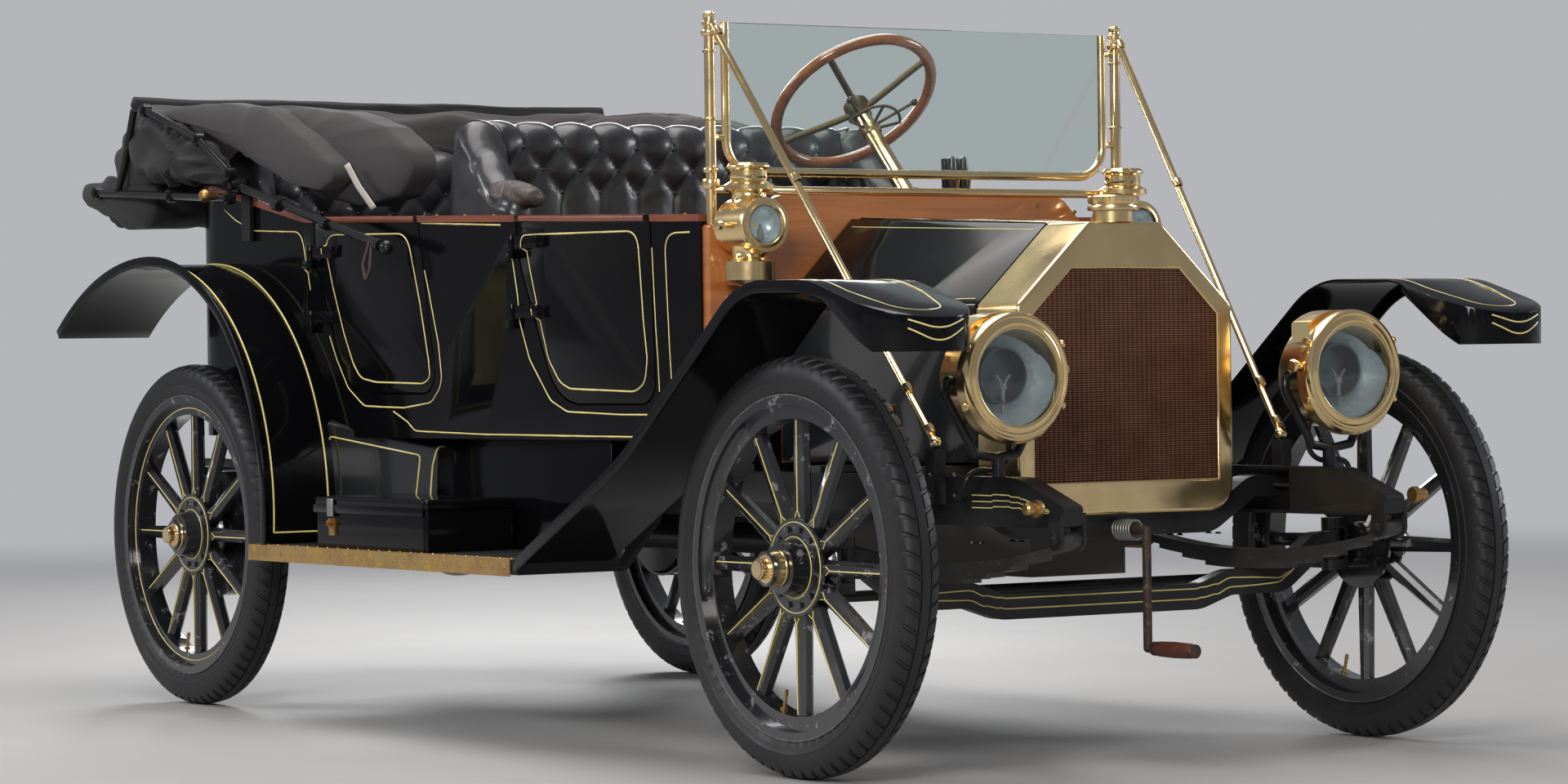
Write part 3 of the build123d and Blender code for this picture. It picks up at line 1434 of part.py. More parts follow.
iron_end = (rear_axle_x + 908, iron_y + iron_splay, 1067)
iron_start = Vector(top_pivot_x, iron_y, top_pivot_z)
iron_run = Vector(*iron_end) - iron_start
with BuildPart() as top_iron_left:
    with BuildSketch(Plane(origin=iron_start + iron_run.normalized() * 12, z_dir=iron_run)):
        Circle(iron_radius - 1)
    extrude(amount=iron_run.length - 12)
    with Locations(iron_end):
        Sphere(iron_radius + 5)
    with Locations(Location(iron_start, (90, 0, 0))):
        Cylinder(20, 2 * iron_radius)
        Cylinder(8 + running_gap, 4 * iron_radius, mode=Mode.SUBTRACT)
keep(top_iron_left, "top_iron_left")

with BuildPart() as top_iron_right:
    mirror(top_iron_left.part, about=Plane.XZ)
keep(top_iron_right, "top_iron_right")
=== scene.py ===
import json
from bisect import bisect_left
from math import atan2, copysign, cos, pi, radians, sin, sqrt, tan

import bmesh
import bpy
from mathutils import Matrix, Vector, noise
from mathutils.bvhtree import BVHTree


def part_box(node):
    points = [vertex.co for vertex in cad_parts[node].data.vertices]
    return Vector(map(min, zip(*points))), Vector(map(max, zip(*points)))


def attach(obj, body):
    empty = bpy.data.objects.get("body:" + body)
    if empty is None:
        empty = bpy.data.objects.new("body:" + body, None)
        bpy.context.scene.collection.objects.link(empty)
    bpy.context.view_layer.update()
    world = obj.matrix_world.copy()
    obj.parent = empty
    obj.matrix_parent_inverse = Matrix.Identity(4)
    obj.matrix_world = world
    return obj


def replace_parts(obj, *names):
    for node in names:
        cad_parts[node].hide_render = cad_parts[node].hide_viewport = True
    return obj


bl_info = {
    "name": "Brass Era Car",
    "version": (1, 0, 0),
    "blender": (4, 5, 0),
    "location": "View3D > Sidebar > Car",
    "description": "Dresses the touring car in paint, stripes, brass, rubber and leather",
    "category": "Object",
}

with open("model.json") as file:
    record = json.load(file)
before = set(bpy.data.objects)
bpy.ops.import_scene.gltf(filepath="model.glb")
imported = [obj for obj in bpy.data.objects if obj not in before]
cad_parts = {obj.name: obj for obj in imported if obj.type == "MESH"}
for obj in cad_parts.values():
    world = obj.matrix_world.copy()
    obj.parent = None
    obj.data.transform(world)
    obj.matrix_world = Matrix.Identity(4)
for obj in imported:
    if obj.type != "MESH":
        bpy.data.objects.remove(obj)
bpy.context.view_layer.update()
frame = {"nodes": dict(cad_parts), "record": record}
NODES = frame["nodes"]
BODY_OF = {name: body for body, names in frame["record"]["behaviour"]["bodies"].items()
           for name in names}
SLOT_OF = {entry["node"]: entry["material_slot"] for entry in frame["record"]["subparts"]}
SIDES = ((1, "left"), (-1, "right"))
CORNERS = [(end, side, word) for end in ("front", "rear") for side, word in SIDES]


def middle_of(name, axis):
    low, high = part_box(name)
    return (low[axis] + high[axis]) / 2


# Places taken from the frame, in metres
AXLE_X = {end: middle_of("wheel_%s_left" % end, 0) for end in ("front", "rear")}
AXLE_Z = middle_of("tyre_front_left", 2)
WHEEL_Y = middle_of("tyre_front_left", 1)
X, Y, Z = Vector((1, 0, 0)), Vector((0, 1, 0)), Vector((0, 0, 1))


# Shader groups

def node(tree, kind, **values):
    """A shader node. Each value is a setting, an input's value, or what feeds that input."""
    made = tree.nodes.new("ShaderNode" + kind)
    for key, value in values.items():
        label = key.replace("_", " ")
        if key.startswith("in_"):
            socket = made.inputs[int(key[3:])]
        elif label in made.inputs.keys():
            socket = made.inputs[label]
        else:
            setattr(made, key, value)
            continue
        if isinstance(value, bpy.types.Node):
            value = value.outputs[0]
        if isinstance(value, bpy.types.NodeSocket):
            tree.links.new(value, socket)
        else:
            socket.default_value = value
    return made


def new_group(name, outputs, **inputs):
    """A shader group, the sockets at its two ends, and the object's coordinates in it."""
    group = bpy.data.node_groups.new(name, "ShaderNodeTree")
    for label, default in inputs.items():
        kind = "NodeSocketVector" if isinstance(default, tuple) else "NodeSocketFloat"
        socket = group.interface.new_socket(label, in_out="INPUT", socket_type=kind)
        socket.default_value = default
    for label in outputs:
        group.interface.new_socket(label, in_out="OUTPUT", socket_type="NodeSocketFloat")
    return (group, group.nodes.new("NodeGroupInput").outputs,
            group.nodes.new("NodeGroupOutput").inputs, node(group, "TexCoord").outputs["Object"])


def mottle_group():
    """Soft uneven patches, for gloss and tarnish."""
    group, start, end, where = new_group("uneven_gloss", ["Patches"], Scale=6.0, Contrast=0.5)
    cloud = node(group, "TexNoise", Detail=5.0, Roughness=0.6, Vector=where,
                 Scale=start["Scale"])
    ramp = node(group, "MapRange", Value=cloud, in_1=0.32, in_2=0.70)
    gain = node(group, "Math", operation="MULTIPLY", in_0=ramp, in_1=start["Contrast"])
    group.links.new(gain.outputs[0], end["Patches"])
    return group


def grain_group():
    """Wood grain along one axis: a mask for colour and a height for bump."""
    group, start, end, where = new_group("wood_grain", ["Grain", "Height"],
                                         Along=(1.5, 9.0, 60.0))
    stretch = node(group, "VectorMath", operation="MULTIPLY", in_0=where, in_1=start["Along"])
    rings = node(group, "TexNoise", Scale=1.0, Detail=8.0, Roughness=0.65, Distortion=0.6,
                 Vector=stretch)
    ramp = node(group, "MapRange", Value=rings, in_1=0.35, in_2=0.68)
    group.links.new(ramp.outputs[0], end["Grain"])
    group.links.new(rings.outputs[0], end["Height"])
    return group


def pebble_group():
    """Pebbled leather or rubber, as a height."""
    group, start, end, where = new_group("pebble", ["Height"], Scale=300.0)
    cells = node(group, "TexVoronoi", feature="F1", Vector=where, Scale=start["Scale"])
    group.links.new(cells.outputs["Distance"], end["Height"])
    return group


def weave_group():
    """The over and under weave of coated cloth, as a height."""
    group, start, end, where = new_group("cloth_weave", ["Height"], Scale=900.0)
    first, second = [
        node(group, "TexWave", wave_type="BANDS", bands_direction=axis, Vector=where,
             Scale=start["Scale"]).outputs["Fac"] for axis in "XZ"]
    both = node(group, "Math", operation="MULTIPLY", in_0=first, in_1=second)
    group.links.new(both.outputs[0], end["Height"])
    return group


def wear_group():
    """Chips, more of them with Amount, and dust that thickens toward the ground."""
    group, start, end, where = new_group("rubbed_wear", ["Chips", "Dust"], Scale=30.0,
                                         Amount=0.3)
    cloud = node(group, "TexNoise", Detail=9.0, Roughness=0.72, Vector=where,
                 Scale=start["Scale"])
    edge = node(group, "Math", operation="SUBTRACT", in_0=0.78, in_1=start["Amount"])
    apart = node(group, "Math", operation="SUBTRACT", in_0=cloud, in_1=edge)
    hard = node(group, "MapRange", Value=apart, in_1=0.0, in_2=0.03)
    height = node(group, "SeparateXYZ", Vector=where).outputs["Z"]
    low = node(group, "MapRange", Value=height, in_1=0.75, in_2=0.25)
    soft = node(group, "TexNoise", Scale=9.0, Detail=6.0, Vector=where)
    dust = node(group, "Math", operation="MULTIPLY", in_0=low, in_1=soft)
    group.links.new(hard.outputs[0], end["Chips"])
    group.links.new(dust.outputs[0], end["Dust"])
    return group


# Finishes

GROUPS = {}
FINISH = {}
DUST_COLOUR = (0.17, 0.155, 0.135)
COAT_ROUGHNESS = 0.06
BUMP_DEPTH = 0.0008


def mixed(tree, first, second, share):
    """Colour between two others."""
    values = [(*colour, 1) if isinstance(colour, tuple) else colour
              for colour in (first, second)]
    return node(tree, "Mix", data_type="RGBA", A=values[0], B=values[1],
                Factor=share).outputs["Result"]


def shade(name, colour, rough, metallic=0.0, under=None, wear=0.0, wear_scale=30.0, dust=0.0,
          patch_scale=6.0, rough_span=0.1, coat=0.0, bump=None, bump_scale=300.0,
          bump_strength=0.1, tint=None, tint_amount=0.5, transmission=0.0, sheen=0.0,
          along=None, specular=0.5):
    """One finish: base colour, patches of tint, chips down to the layer under, dust and bump."""
    material = bpy.data.materials.new(name)
    material.use_nodes = True
    tree = material.node_tree
    tree.nodes.clear()
    patches = node(tree, "Group", node_tree=GROUPS["mottle"], Scale=patch_scale, Contrast=1.0)
    gloss = node(tree, "MapRange", Value=patches, in_3=rough,
                 in_4=min(1.0, rough + rough_span))
    mask = node(tree, "Group", node_tree=GROUPS["grain"], Along=along) if along else patches
    amount = node(tree, "Math", operation="MULTIPLY", in_0=mask, in_1=tint_amount)
    last = mixed(tree, colour, tint or colour, amount)
    if wear or dust:
        rubbed = node(tree, "Group", node_tree=GROUPS["wear"], Scale=wear_scale, Amount=wear)
        if dust:
            share = node(tree, "Math", operation="MULTIPLY", in_0=rubbed.outputs["Dust"],
                         in_1=dust)
            last = mixed(tree, last, DUST_COLOUR, share)
        if wear:
            last = mixed(tree, last, under or colour, rubbed.outputs["Chips"])
    shader = node(tree, "BsdfPrincipled", Base_Color=last, Roughness=gloss, Metallic=metallic,
                  Coat_Weight=coat, Coat_Roughness=COAT_ROUGHNESS, Sheen_Weight=sheen,
                  Specular_IOR_Level=specular, Transmission_Weight=transmission)
    node(tree, "OutputMaterial", Surface=shader)
    if bump:
        size = {"Along": along} if bump == "grain" else {"Scale": bump_scale}
        relief = node(tree, "Group", node_tree=GROUPS[bump], **size)
        height = relief.outputs["Patches" if bump == "mottle" else "Height"]
        lift = node(tree, "Bump", Strength=bump_strength, Distance=BUMP_DEPTH, Height=height)
        tree.links.new(lift.outputs[0], shader.inputs["Normal"])
    return material


def make_finishes(look):
    """Every finish of the car, from its own colours."""
    GROUPS.update(mottle=mottle_group(), grain=grain_group(), pebble=pebble_group(),
                  weave=weave_group(), wear=wear_group())
    varnish = dict(rough_span=0.12, coat=1.0, bump="grain", bump_strength=0.05)
    FINISH.update(
        body_paint=shade(
            "body_enamel", tuple(look.paint_colour), 0.08, rough_span=0.08, coat=0.12,
            bump="mottle", bump_scale=55.0, bump_strength=0.03, tint=(0.005, 0.005, 0.006),
            specular=0.12),
        chassis_paint=shade(
            "chassis_enamel", (0.007, 0.007, 0.008), 0.20, rough_span=0.25, coat=0.1, dust=0.18,
            specular=0.3, wear=0.13, wear_scale=45.0, under=(0.05, 0.045, 0.04)),
        # The pale grey chips on the wheels are partly wear and partly painted reflection of the
        # light floor and wall on the glossy spokes
        wheel_paint=shade(
            "wheel_enamel", (0.008, 0.008, 0.010), 0.14, rough_span=0.22, coat=0.7, dust=0.06,
            wear=0.185, wear_scale=26.0, under=(0.20, 0.19, 0.20), tint=(0.02, 0.02, 0.026)),
        hood_panel_paint=shade(
            "hood_enamel", (0.020, 0.022, 0.024), 0.12, coat=0.6, bump="mottle",
            bump_scale=40.0, bump_strength=0.03),
        brass=shade(
            "polished_brass", tuple(look.brass_colour), 0.10, metallic=1.0, rough_span=0.20,
            patch_scale=7.0, tint=(0.70, 0.47, 0.20), tint_amount=0.35, wear=0.06,
            wear_scale=70.0, under=(0.30, 0.18, 0.08), bump="mottle", bump_scale=22.0,
            bump_strength=0.03),
        aged_brass=shade(
            "aged_brass", (0.55, 0.36, 0.14), 0.3, metallic=1.0, rough_span=0.3,
            patch_scale=14.0, tint=(0.30, 0.15, 0.05), tint_amount=0.8, wear=0.2,
            wear_scale=50.0, under=(0.12, 0.07, 0.03)),
        dark_brass=shade(
            "blackened_brass", (0.075, 0.055, 0.030), 0.32, metallic=0.8, rough_span=0.3,
            tint=(0.20, 0.14, 0.06), patch_scale=30.0, tint_amount=0.6),
        worn_edging=shade(
            "worn_edging", (0.58, 0.38, 0.14), 0.30, metallic=0.75, rough_span=0.3,
            tint=(0.28, 0.16, 0.07), tint_amount=0.8, patch_scale=14.0, wear=0.22,
            wear_scale=40.0, under=(0.62, 0.40, 0.06)),
        tyre=shade(
            "tyre_rubber", (0.008, 0.008, 0.010), 0.40, rough_span=0.2, patch_scale=12.0,
            tint=(0.015, 0.015, 0.016), dust=0.09, specular=0.4, bump="pebble",
            bump_scale=900.0, bump_strength=0.15),
        dash_wood=shade(
            "varnished_dash", (0.50, 0.185, 0.055), 0.16, tint=(0.30, 0.085, 0.02),
            tint_amount=0.7, along=(3.0, 2.2, 34.0), **varnish),
        rim_wood=shade(
            "varnished_rim", (0.40, 0.125, 0.03), 0.15, tint=(0.16, 0.04, 0.012),
            tint_amount=0.8, along=(30.0, 30.0, 30.0), **varnish),
        cap_wood=shade(
            "varnished_cap", (0.24, 0.058, 0.018), 0.2, tint=(0.10, 0.020, 0.010),
            tint_amount=0.8, along=(3.0, 60.0, 60.0), rough_span=0.15, coat=0.8, bump="grain",
            bump_strength=0.05),
        crank_wood=shade(
            "crank_grip", (0.13, 0.032, 0.016), 0.45, rough_span=0.2, tint=(0.05, 0.014, 0.008),
            patch_scale=40.0, tint_amount=0.8),
        black_leather=shade(
            "black_leather", (0.010, 0.010, 0.012), 0.30, rough_span=0.2, coat=0.25,
            tint=(0.022, 0.022, 0.025), patch_scale=14.0, bump="pebble", bump_scale=420.0,
            bump_strength=0.35, wear=0.10, wear_scale=24.0, under=(0.06, 0.05, 0.045)),
        worn_leather=shade(
            "worn_leather", (0.030, 0.024, 0.022), 0.45, rough_span=0.3,
            tint=(0.13, 0.085, 0.07), patch_scale=26.0, bump="pebble", bump_scale=380.0,
            bump_strength=0.5, wear=0.22, wear_scale=40.0, under=(0.20, 0.15, 0.13)),
        strap_leather=shade(
            "strap_leather", (0.035, 0.020, 0.014), 0.55, rough_span=0.2,
            tint=(0.08, 0.05, 0.04), bump="pebble", bump_scale=500.0, bump_strength=0.3),
        pale_strap=shade(
            "pale_strap", (0.52, 0.48, 0.42), 0.6, rough_span=0.2, tint=(0.36, 0.32, 0.27),
            patch_scale=30.0, bump="pebble", bump_scale=700.0, bump_strength=0.2),
        top_fabric=shade(
            "top_cloth", (0.008, 0.008, 0.009), 0.58, rough_span=0.25,
            tint=(0.020, 0.020, 0.022), patch_scale=5.0, bump="weave", bump_scale=420.0,
            bump_strength=0.35, sheen=0.08, specular=0.35),
        top_lining=shade(
            "top_lining", (0.042, 0.036, 0.037), 0.85, tint=(0.026, 0.022, 0.023),
            patch_scale=4.0, bump="weave", bump_scale=520.0, bump_strength=0.3, sheen=0.10),
        glass=shade("plate_glass", (0.76, 0.85, 0.81), 0.0, rough_span=0.01, transmission=1.0),
        lamp_glass=shade(
            "lamp_glass", (0.86, 0.92, 0.93), 0.01, rough_span=0.02, transmission=1.0),
        reflector=shade(
            "silvered_reflector", (0.86, 0.92, 0.94), 0.20, metallic=0.35, rough_span=0.2,
            tint=(0.66, 0.76, 0.80), patch_scale=20.0),
        reflector_dark=shade(
            "smoked_ring", (0.10, 0.115, 0.12), 0.22, metallic=0.9, rough_span=0.2),
        bulb=shade("burner", (0.34, 0.33, 0.29), 0.4, rough_span=0.2),
        engine_iron=shade(
            "engine_iron", (0.05, 0.048, 0.045), 0.6, rough_span=0.25, dust=0.4,
            tint=(0.09, 0.07, 0.05)),
        spring_steel=shade(
            "spring_steel", (0.012, 0.012, 0.013), 0.34, rough_span=0.3, coat=0.3, dust=0.3,
            wear=0.17, wear_scale=50.0, under=(0.09, 0.07, 0.06)),
        crank_steel=shade(
            "crank_steel", (0.025, 0.017, 0.014), 0.45, rough_span=0.3,
            tint=(0.07, 0.03, 0.018), tint_amount=0.9, patch_scale=30.0, wear=0.2,
            wear_scale=60.0, under=(0.14, 0.10, 0.08)),
        bare_steel=shade(
            "bare_steel", (0.42, 0.41, 0.40), 0.32, metallic=1.0, rough_span=0.3,
            tint=(0.2, 0.18, 0.17), patch_scale=20.0),
        rim_edge=shade(
            "rubbed_rim", (0.20, 0.195, 0.19), 0.35, metallic=0.7, rough_span=0.3,
            tint=(0.06, 0.055, 0.055), patch_scale=22.0, tint_amount=0.9),
        core_metal=shade(
            "radiator_core", (0.10, 0.032, 0.020), 0.38, metallic=0.55, rough_span=0.25,
            tint=(0.05, 0.02, 0.014), patch_scale=12.0, tint_amount=0.8),
        core_fin=shade(
            "core_fins", (0.42, 0.20, 0.105), 0.38, metallic=0.7, rough_span=0.25,
            tint=(0.20, 0.08, 0.04), patch_scale=16.0, tint_amount=0.8),
        # Near-black painted shade for hollows: the depth of the radiator core and the holes of
        # the lamp vents
        core_depth=shade("core_depth", (0.018, 0.007, 0.005), 0.7),
        stripe=shade(
            "stripe_enamel", tuple(look.stripe_colour), 0.35, rough_span=0.2,
            tint=(0.62, 0.48, 0.14), patch_scale=16.0, tint_amount=0.45, coat=0.4),
        dark_knob=shade("dark_knob", (0.012, 0.010, 0.009), 0.2, rough_span=0.2, coat=0.5),
        floor=shade(
            "pale_floor", (0.46, 0.45, 0.44), 0.50, patch_scale=0.7, tint=(0.40, 0.39, 0.38),
            tint_amount=0.6),
    )


# Making pieces

WELD = 0.00002
FINISH_OF = {"body_rail": "cap_wood", "lamp_glass": "lamp_glass", "steering_wheel": "rim_wood"}


def place(mesh, name, finish, body, angle):
    """Link a mesh as a piece in its place, shaded smooth, and let it ride on its body."""
    mesh.materials.clear()
    mesh.materials.append(FINISH[finish])
    mesh.shade_smooth()
    mesh.set_sharp_from_angle(angle=radians(angle))
    piece = bpy.data.objects.new(name, mesh)
    bpy.context.scene.collection.objects.link(piece)
    if body:
        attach(piece, body)
    return piece


def mesh_from(bm, name):
    mesh = bpy.data.meshes.new(name)
    bm.to_mesh(mesh)
    bm.free()
    return mesh


def piece_from(bm, name, finish, body="car", angle=40):
    """Clean a bmesh up and place it."""
    bmesh.ops.remove_doubles(bm, verts=bm.verts, dist=WELD)
    bmesh.ops.recalc_face_normals(bm, faces=bm.faces)
    return place(mesh_from(bm, name), name, finish, body, angle)


def soften(bm, edges, offset, segments=2, clamp=False):
    bmesh.ops.bevel(bm, geom=edges, offset=offset, segments=segments, profile=0.5,
                    affect="EDGES", clamp_overlap=clamp, material=-1)


def dress(name, width=0.0, segments=2, angle=38):
    """Merged and smoothed copy of a CAD node, its sharp edges rounded over, in its stead."""
    bm = bmesh.new()
    bm.from_mesh(NODES[name].data)
    bmesh.ops.remove_doubles(bm, verts=bm.verts, dist=WELD)
    bmesh.ops.dissolve_limit(bm, angle_limit=radians(0.6), verts=bm.verts, edges=bm.edges)
    if width:
        sharp = [edge for edge in bm.edges if len(edge.link_faces) == 2
                 and edge.calc_face_angle(0) > radians(50)]
        soften(bm, sharp, width, segments, clamp=True)
    new_name = name + "_dressed"
    piece = place(mesh_from(bm, new_name), new_name, FINISH_OF.get(name, SLOT_OF[name]),
                  BODY_OF[name], angle)
    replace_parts(piece, name)


def turned(bm, profile, centre, axis, steps=48, closed=False):
    """Spin a profile of (along, radius), in millimetres, about an axis through centre."""
    axis = Vector(axis).normalized()
    side = axis.orthogonal().normalized()
    verts = [bm.verts.new(Vector(centre) + axis * (along / 1000) + side * (radius / 1000))
             for along, radius in profile]
    edges = [bm.edges.new(pair) for pair in zip(verts, verts[1:])]
    if closed:
        edges.append(bm.edges.new((verts[-1], verts[0])))
    bmesh.ops.spin(bm, geom=verts + edges, cent=centre, axis=axis, dvec=(0, 0, 0),
                   angle=2 * pi, steps=steps, use_merge=True)


def lathed(name, finish, profile, centre, axis, steps=48, body="car", angle=40,
           closed=False):
    """Piece turned from one profile."""
    bm = bmesh.new()
    turned(bm, profile, centre, axis, steps, closed)
    return piece_from(bm, name, finish, body, angle)


def block(bm, low, high):
    """Box between two corners."""
    made = bmesh.ops.create_cube(bm, size=1.0)["verts"]
    bmesh.ops.scale(bm, vec=[b - a for a, b in zip(low, high)], verts=made)
    bmesh.ops.translate(bm, vec=[(a + b) / 2 for a, b in zip(low, high)], verts=made)


def stud(bm, centre, axis, radius, height, segments=8, top=None):
    """Short round or many-sided head standing on centre along axis."""
    turn = Vector(axis).to_track_quat("Z", "Y").to_matrix().to_4x4()
    spot = Matrix.Translation(Vector(centre) + Vector(axis).normalized() * height / 2)
    bmesh.ops.create_cone(bm, cap_ends=True, segments=segments, radius1=radius,
                          radius2=radius if top is None else top, depth=height,
                          matrix=spot @ turn)


def ball(bm, centre, radius, segments, rings):
    made = bmesh.ops.create_uvsphere(bm, u_segments=segments, v_segments=rings, radius=radius)
    bmesh.ops.translate(bm, vec=centre, verts=made["verts"])


def extruded(bm, outline, along):
    """Closed outline drawn out along a vector."""
    face = bm.faces.new([bm.verts.new(point) for point in outline])
    grown = bmesh.ops.extrude_face_region(bm, geom=[face])["geom"]
    bmesh.ops.translate(bm, vec=along, verts=[part for part in grown
                                              if isinstance(part, bmesh.types.BMVert)])


def net(name, across, along, shape, finish, angle, fill=False, thickness=0.0):
    """A grid whose every point is set by shape(u, v), with its open rims filled if asked."""
    bm = bmesh.new()
    bmesh.ops.create_grid(bm, x_segments=across, y_segments=along, size=0.5)
    for vert in bm.verts:
        vert.co = shape(vert.co.x + 0.5, vert.co.y + 0.5)
    bmesh.ops.remove_doubles(bm, verts=bm.verts, dist=0.00005)
    if fill:
        bmesh.ops.holes_fill(bm, edges=[e for e in bm.edges if e.is_boundary], sides=0)
    bmesh.ops.recalc_face_normals(bm, faces=bm.faces)
    piece = place(mesh_from(bm, name), name, finish, "car", angle)
    if thickness:
        wall = piece.modifiers.new("wall", "SOLIDIFY")
        wall.thickness = thickness
        wall.offset = 0
    return piece


def line_piece(name, runs, radius, finish, body="car", resolution=2,
               smooth=False):
    """Round lines along runs of points, as one mesh piece."""
    curve = bpy.data.curves.new(name, "CURVE")
    curve.dimensions = "3D"
    curve.bevel_depth = radius
    curve.bevel_resolution = resolution
    curve.use_fill_caps = True
    for run in runs:
        spline = curve.splines.new("NURBS" if smooth else "POLY")
        spline.points.add(len(run) - 1)
        for point, spot in zip(spline.points, run):
            point.co = (*spot, 1)
        if smooth:
            spline.order_u = 3
            spline.use_endpoint_u = True
            spline.resolution_u = 6
    holder = bpy.data.objects.new(name + "_line", curve)
    bpy.context.scene.collection.objects.link(holder)
    bpy.context.view_layer.update()
    mesh = bpy.data.meshes.new_from_object(
        holder.evaluated_get(bpy.context.evaluated_depsgraph_get()))
    bpy.data.objects.remove(holder)
    bpy.data.curves.remove(curve)
    mesh.name = name
    return place(mesh, name, finish, body, 60)


def stripe(name, runs, radius, body="car"):
    """Coach lines, apart from those that found nothing to lie on."""
    line_piece(name, [run for run in runs if len(run) > 1], radius, "stripe", body,
               resolution=1)


def rounded(points, radius, closed=False, step=0.012):
    """Points along straight runs whose corners are rounded."""
    count = len(points)
    path = []
    for index in range(count):
        here = Vector(points[index])
        if not closed and index in (0, count - 1):
            path.append(here)
            continue
        before = Vector(points[index - 1]) - here
        after = Vector(points[(index + 1) % count]) - here
        reach = min(radius / tan(before.angle(after) / 2), before.length * 0.48,
                    after.length * 0.48)
        start = here + before.normalized() * reach
        end = here + after.normalized() * reach
        for part in range(9):
            t = part / 8
            path.append(start * (1 - t) ** 2 + here * 2 * t * (1 - t) + end * t * t)
    if closed:
        path.append(path[0])
    spaced = [path[0]]
    for a, b in zip(path, path[1:]):
        pieces = max(1, int((b - a).length / step))
        spaced += [a.lerp(b, (k + 1) / pieces) for k in range(pieces)]
    return spaced


def ring_points(centre, axis, radius, count=64):
    """Points round a circle."""
    side = axis.orthogonal().normalized()
    up = axis.cross(side)
    return [centre + (side * cos(2 * pi * k / count) + up * sin(2 * pi * k / count)) * radius
            for k in range(count + 1)]


def bead(radius, thick, steps):
    """Round profile, in millimetres, for a ring about an axis."""
    return [(thick[0] * sin(2 * pi * k / steps), radius + thick[1] * cos(2 * pi * k / steps))
            for k in range(steps)]


def smooth_step(low, high, value):
    share = min(1.0, max(0.0, (value - low) / (high - low)))
    return share * share * (3 - 2 * share)


def tree_of(name):
    """Ray target made of a CAD node."""
    mesh = NODES[name].data
    return BVHTree.FromPolygons([vert.co for vert in mesh.vertices],
                                [face.vertices[:] for face in mesh.polygons])


def cast(tree, points, toward, sink=0.0):
    """Each point dropped on the target along a direction, and sunk a little into it."""
    toward = Vector(toward)
    found = []
    for point in points:
        hit, normal, _, _ = tree.ray_cast(Vector(point) - toward * 2.0, toward)
        if hit is not None:
            facing = copysign(1, -normal.dot(toward))
            found.append(hit - normal * facing * sink)
    return found


# Settings

class CarLooks(bpy.types.PropertyGroup):
    """Sizes and colours of the dressed car that a user would change."""
    paint_colour: bpy.props.FloatVectorProperty(
        name="Paint", description="Body enamel", subtype="COLOR", size=3,
        default=(0.0030, 0.0030, 0.0038), min=0, max=1)
    stripe_colour: bpy.props.FloatVectorProperty(
        name="Stripe", description="Coach lines", subtype="COLOR", size=3,
        default=(0.88, 0.76, 0.30), min=0, max=1)
    brass_colour: bpy.props.FloatVectorProperty(
        name="Brass", description="Polished brass", subtype="COLOR", size=3,
        default=(0.88, 0.68, 0.36), min=0, max=1)
    stripe_width: bpy.props.FloatProperty(
        name="Stripe width", description="Width of the coach lines", unit="LENGTH",
        default=0.0044, min=0.001, max=0.02)
    tread_depth: bpy.props.FloatProperty(
        name="Tread depth", description="Depth of the tyre slots", unit="LENGTH",
        default=0.0045, min=0.001, max=0.01)
    tuft_pitch: bpy.props.FloatProperty(
        name="Tuft pitch", description="Distance between the buttons of a seat", unit="LENGTH",
        default=0.10, min=0.04, max=0.2)
    lens: bpy.props.FloatProperty(
        name="Lens", description="Focal length of the camera", unit="CAMERA",
        default=103.4, min=20, max=300)


def looks():
    return bpy.context.scene.car_looks


# Stage

BACKDROP = (0.46, 0.465, 0.49, 1)
SKY = (0.62, 0.64, 0.70, 1)
SKY_STRENGTH = 0.36
CAMERA_PLACE = (8.603, -5.547, 0.808)
CAMERA_ANGLES = (146.18, -0.43, -0.78)  # heading, pitch and roll, in degrees
FADE_FROM, FADE_TO = 4.0, 12.0
LAMPS = (
    # name, place, aim, width, height, watts, colour
    ("overhead", (-0.4, -0.4, 5.4), (0.0, 0.0, 0.6), 5.4, 3.2, 260, (1.0, 0.98, 0.95)),
    ("front_left", (6.5, -6.0, 3.6), (0.6, -0.3, 0.7), 2.6, 1.6, 330, (1.0, 0.97, 0.93)),
    ("right_fill", (3.0, 7.6, 3.0), (1.0, 0.2, 0.7), 3.0, 1.6, 200, (0.93, 0.96, 1.0)),
    ("side_strip", (-3.6, -6.4, 4.2), (-0.8, -0.6, 0.6), 4.2, 0.7, 200, (0.95, 0.97, 1.0)),
    ("back_rim", (-6.2, 3.6, 3.2), (-0.6, 0.2, 1.0), 3.0, 1.6, 160, (1.0, 1.0, 1.0)))


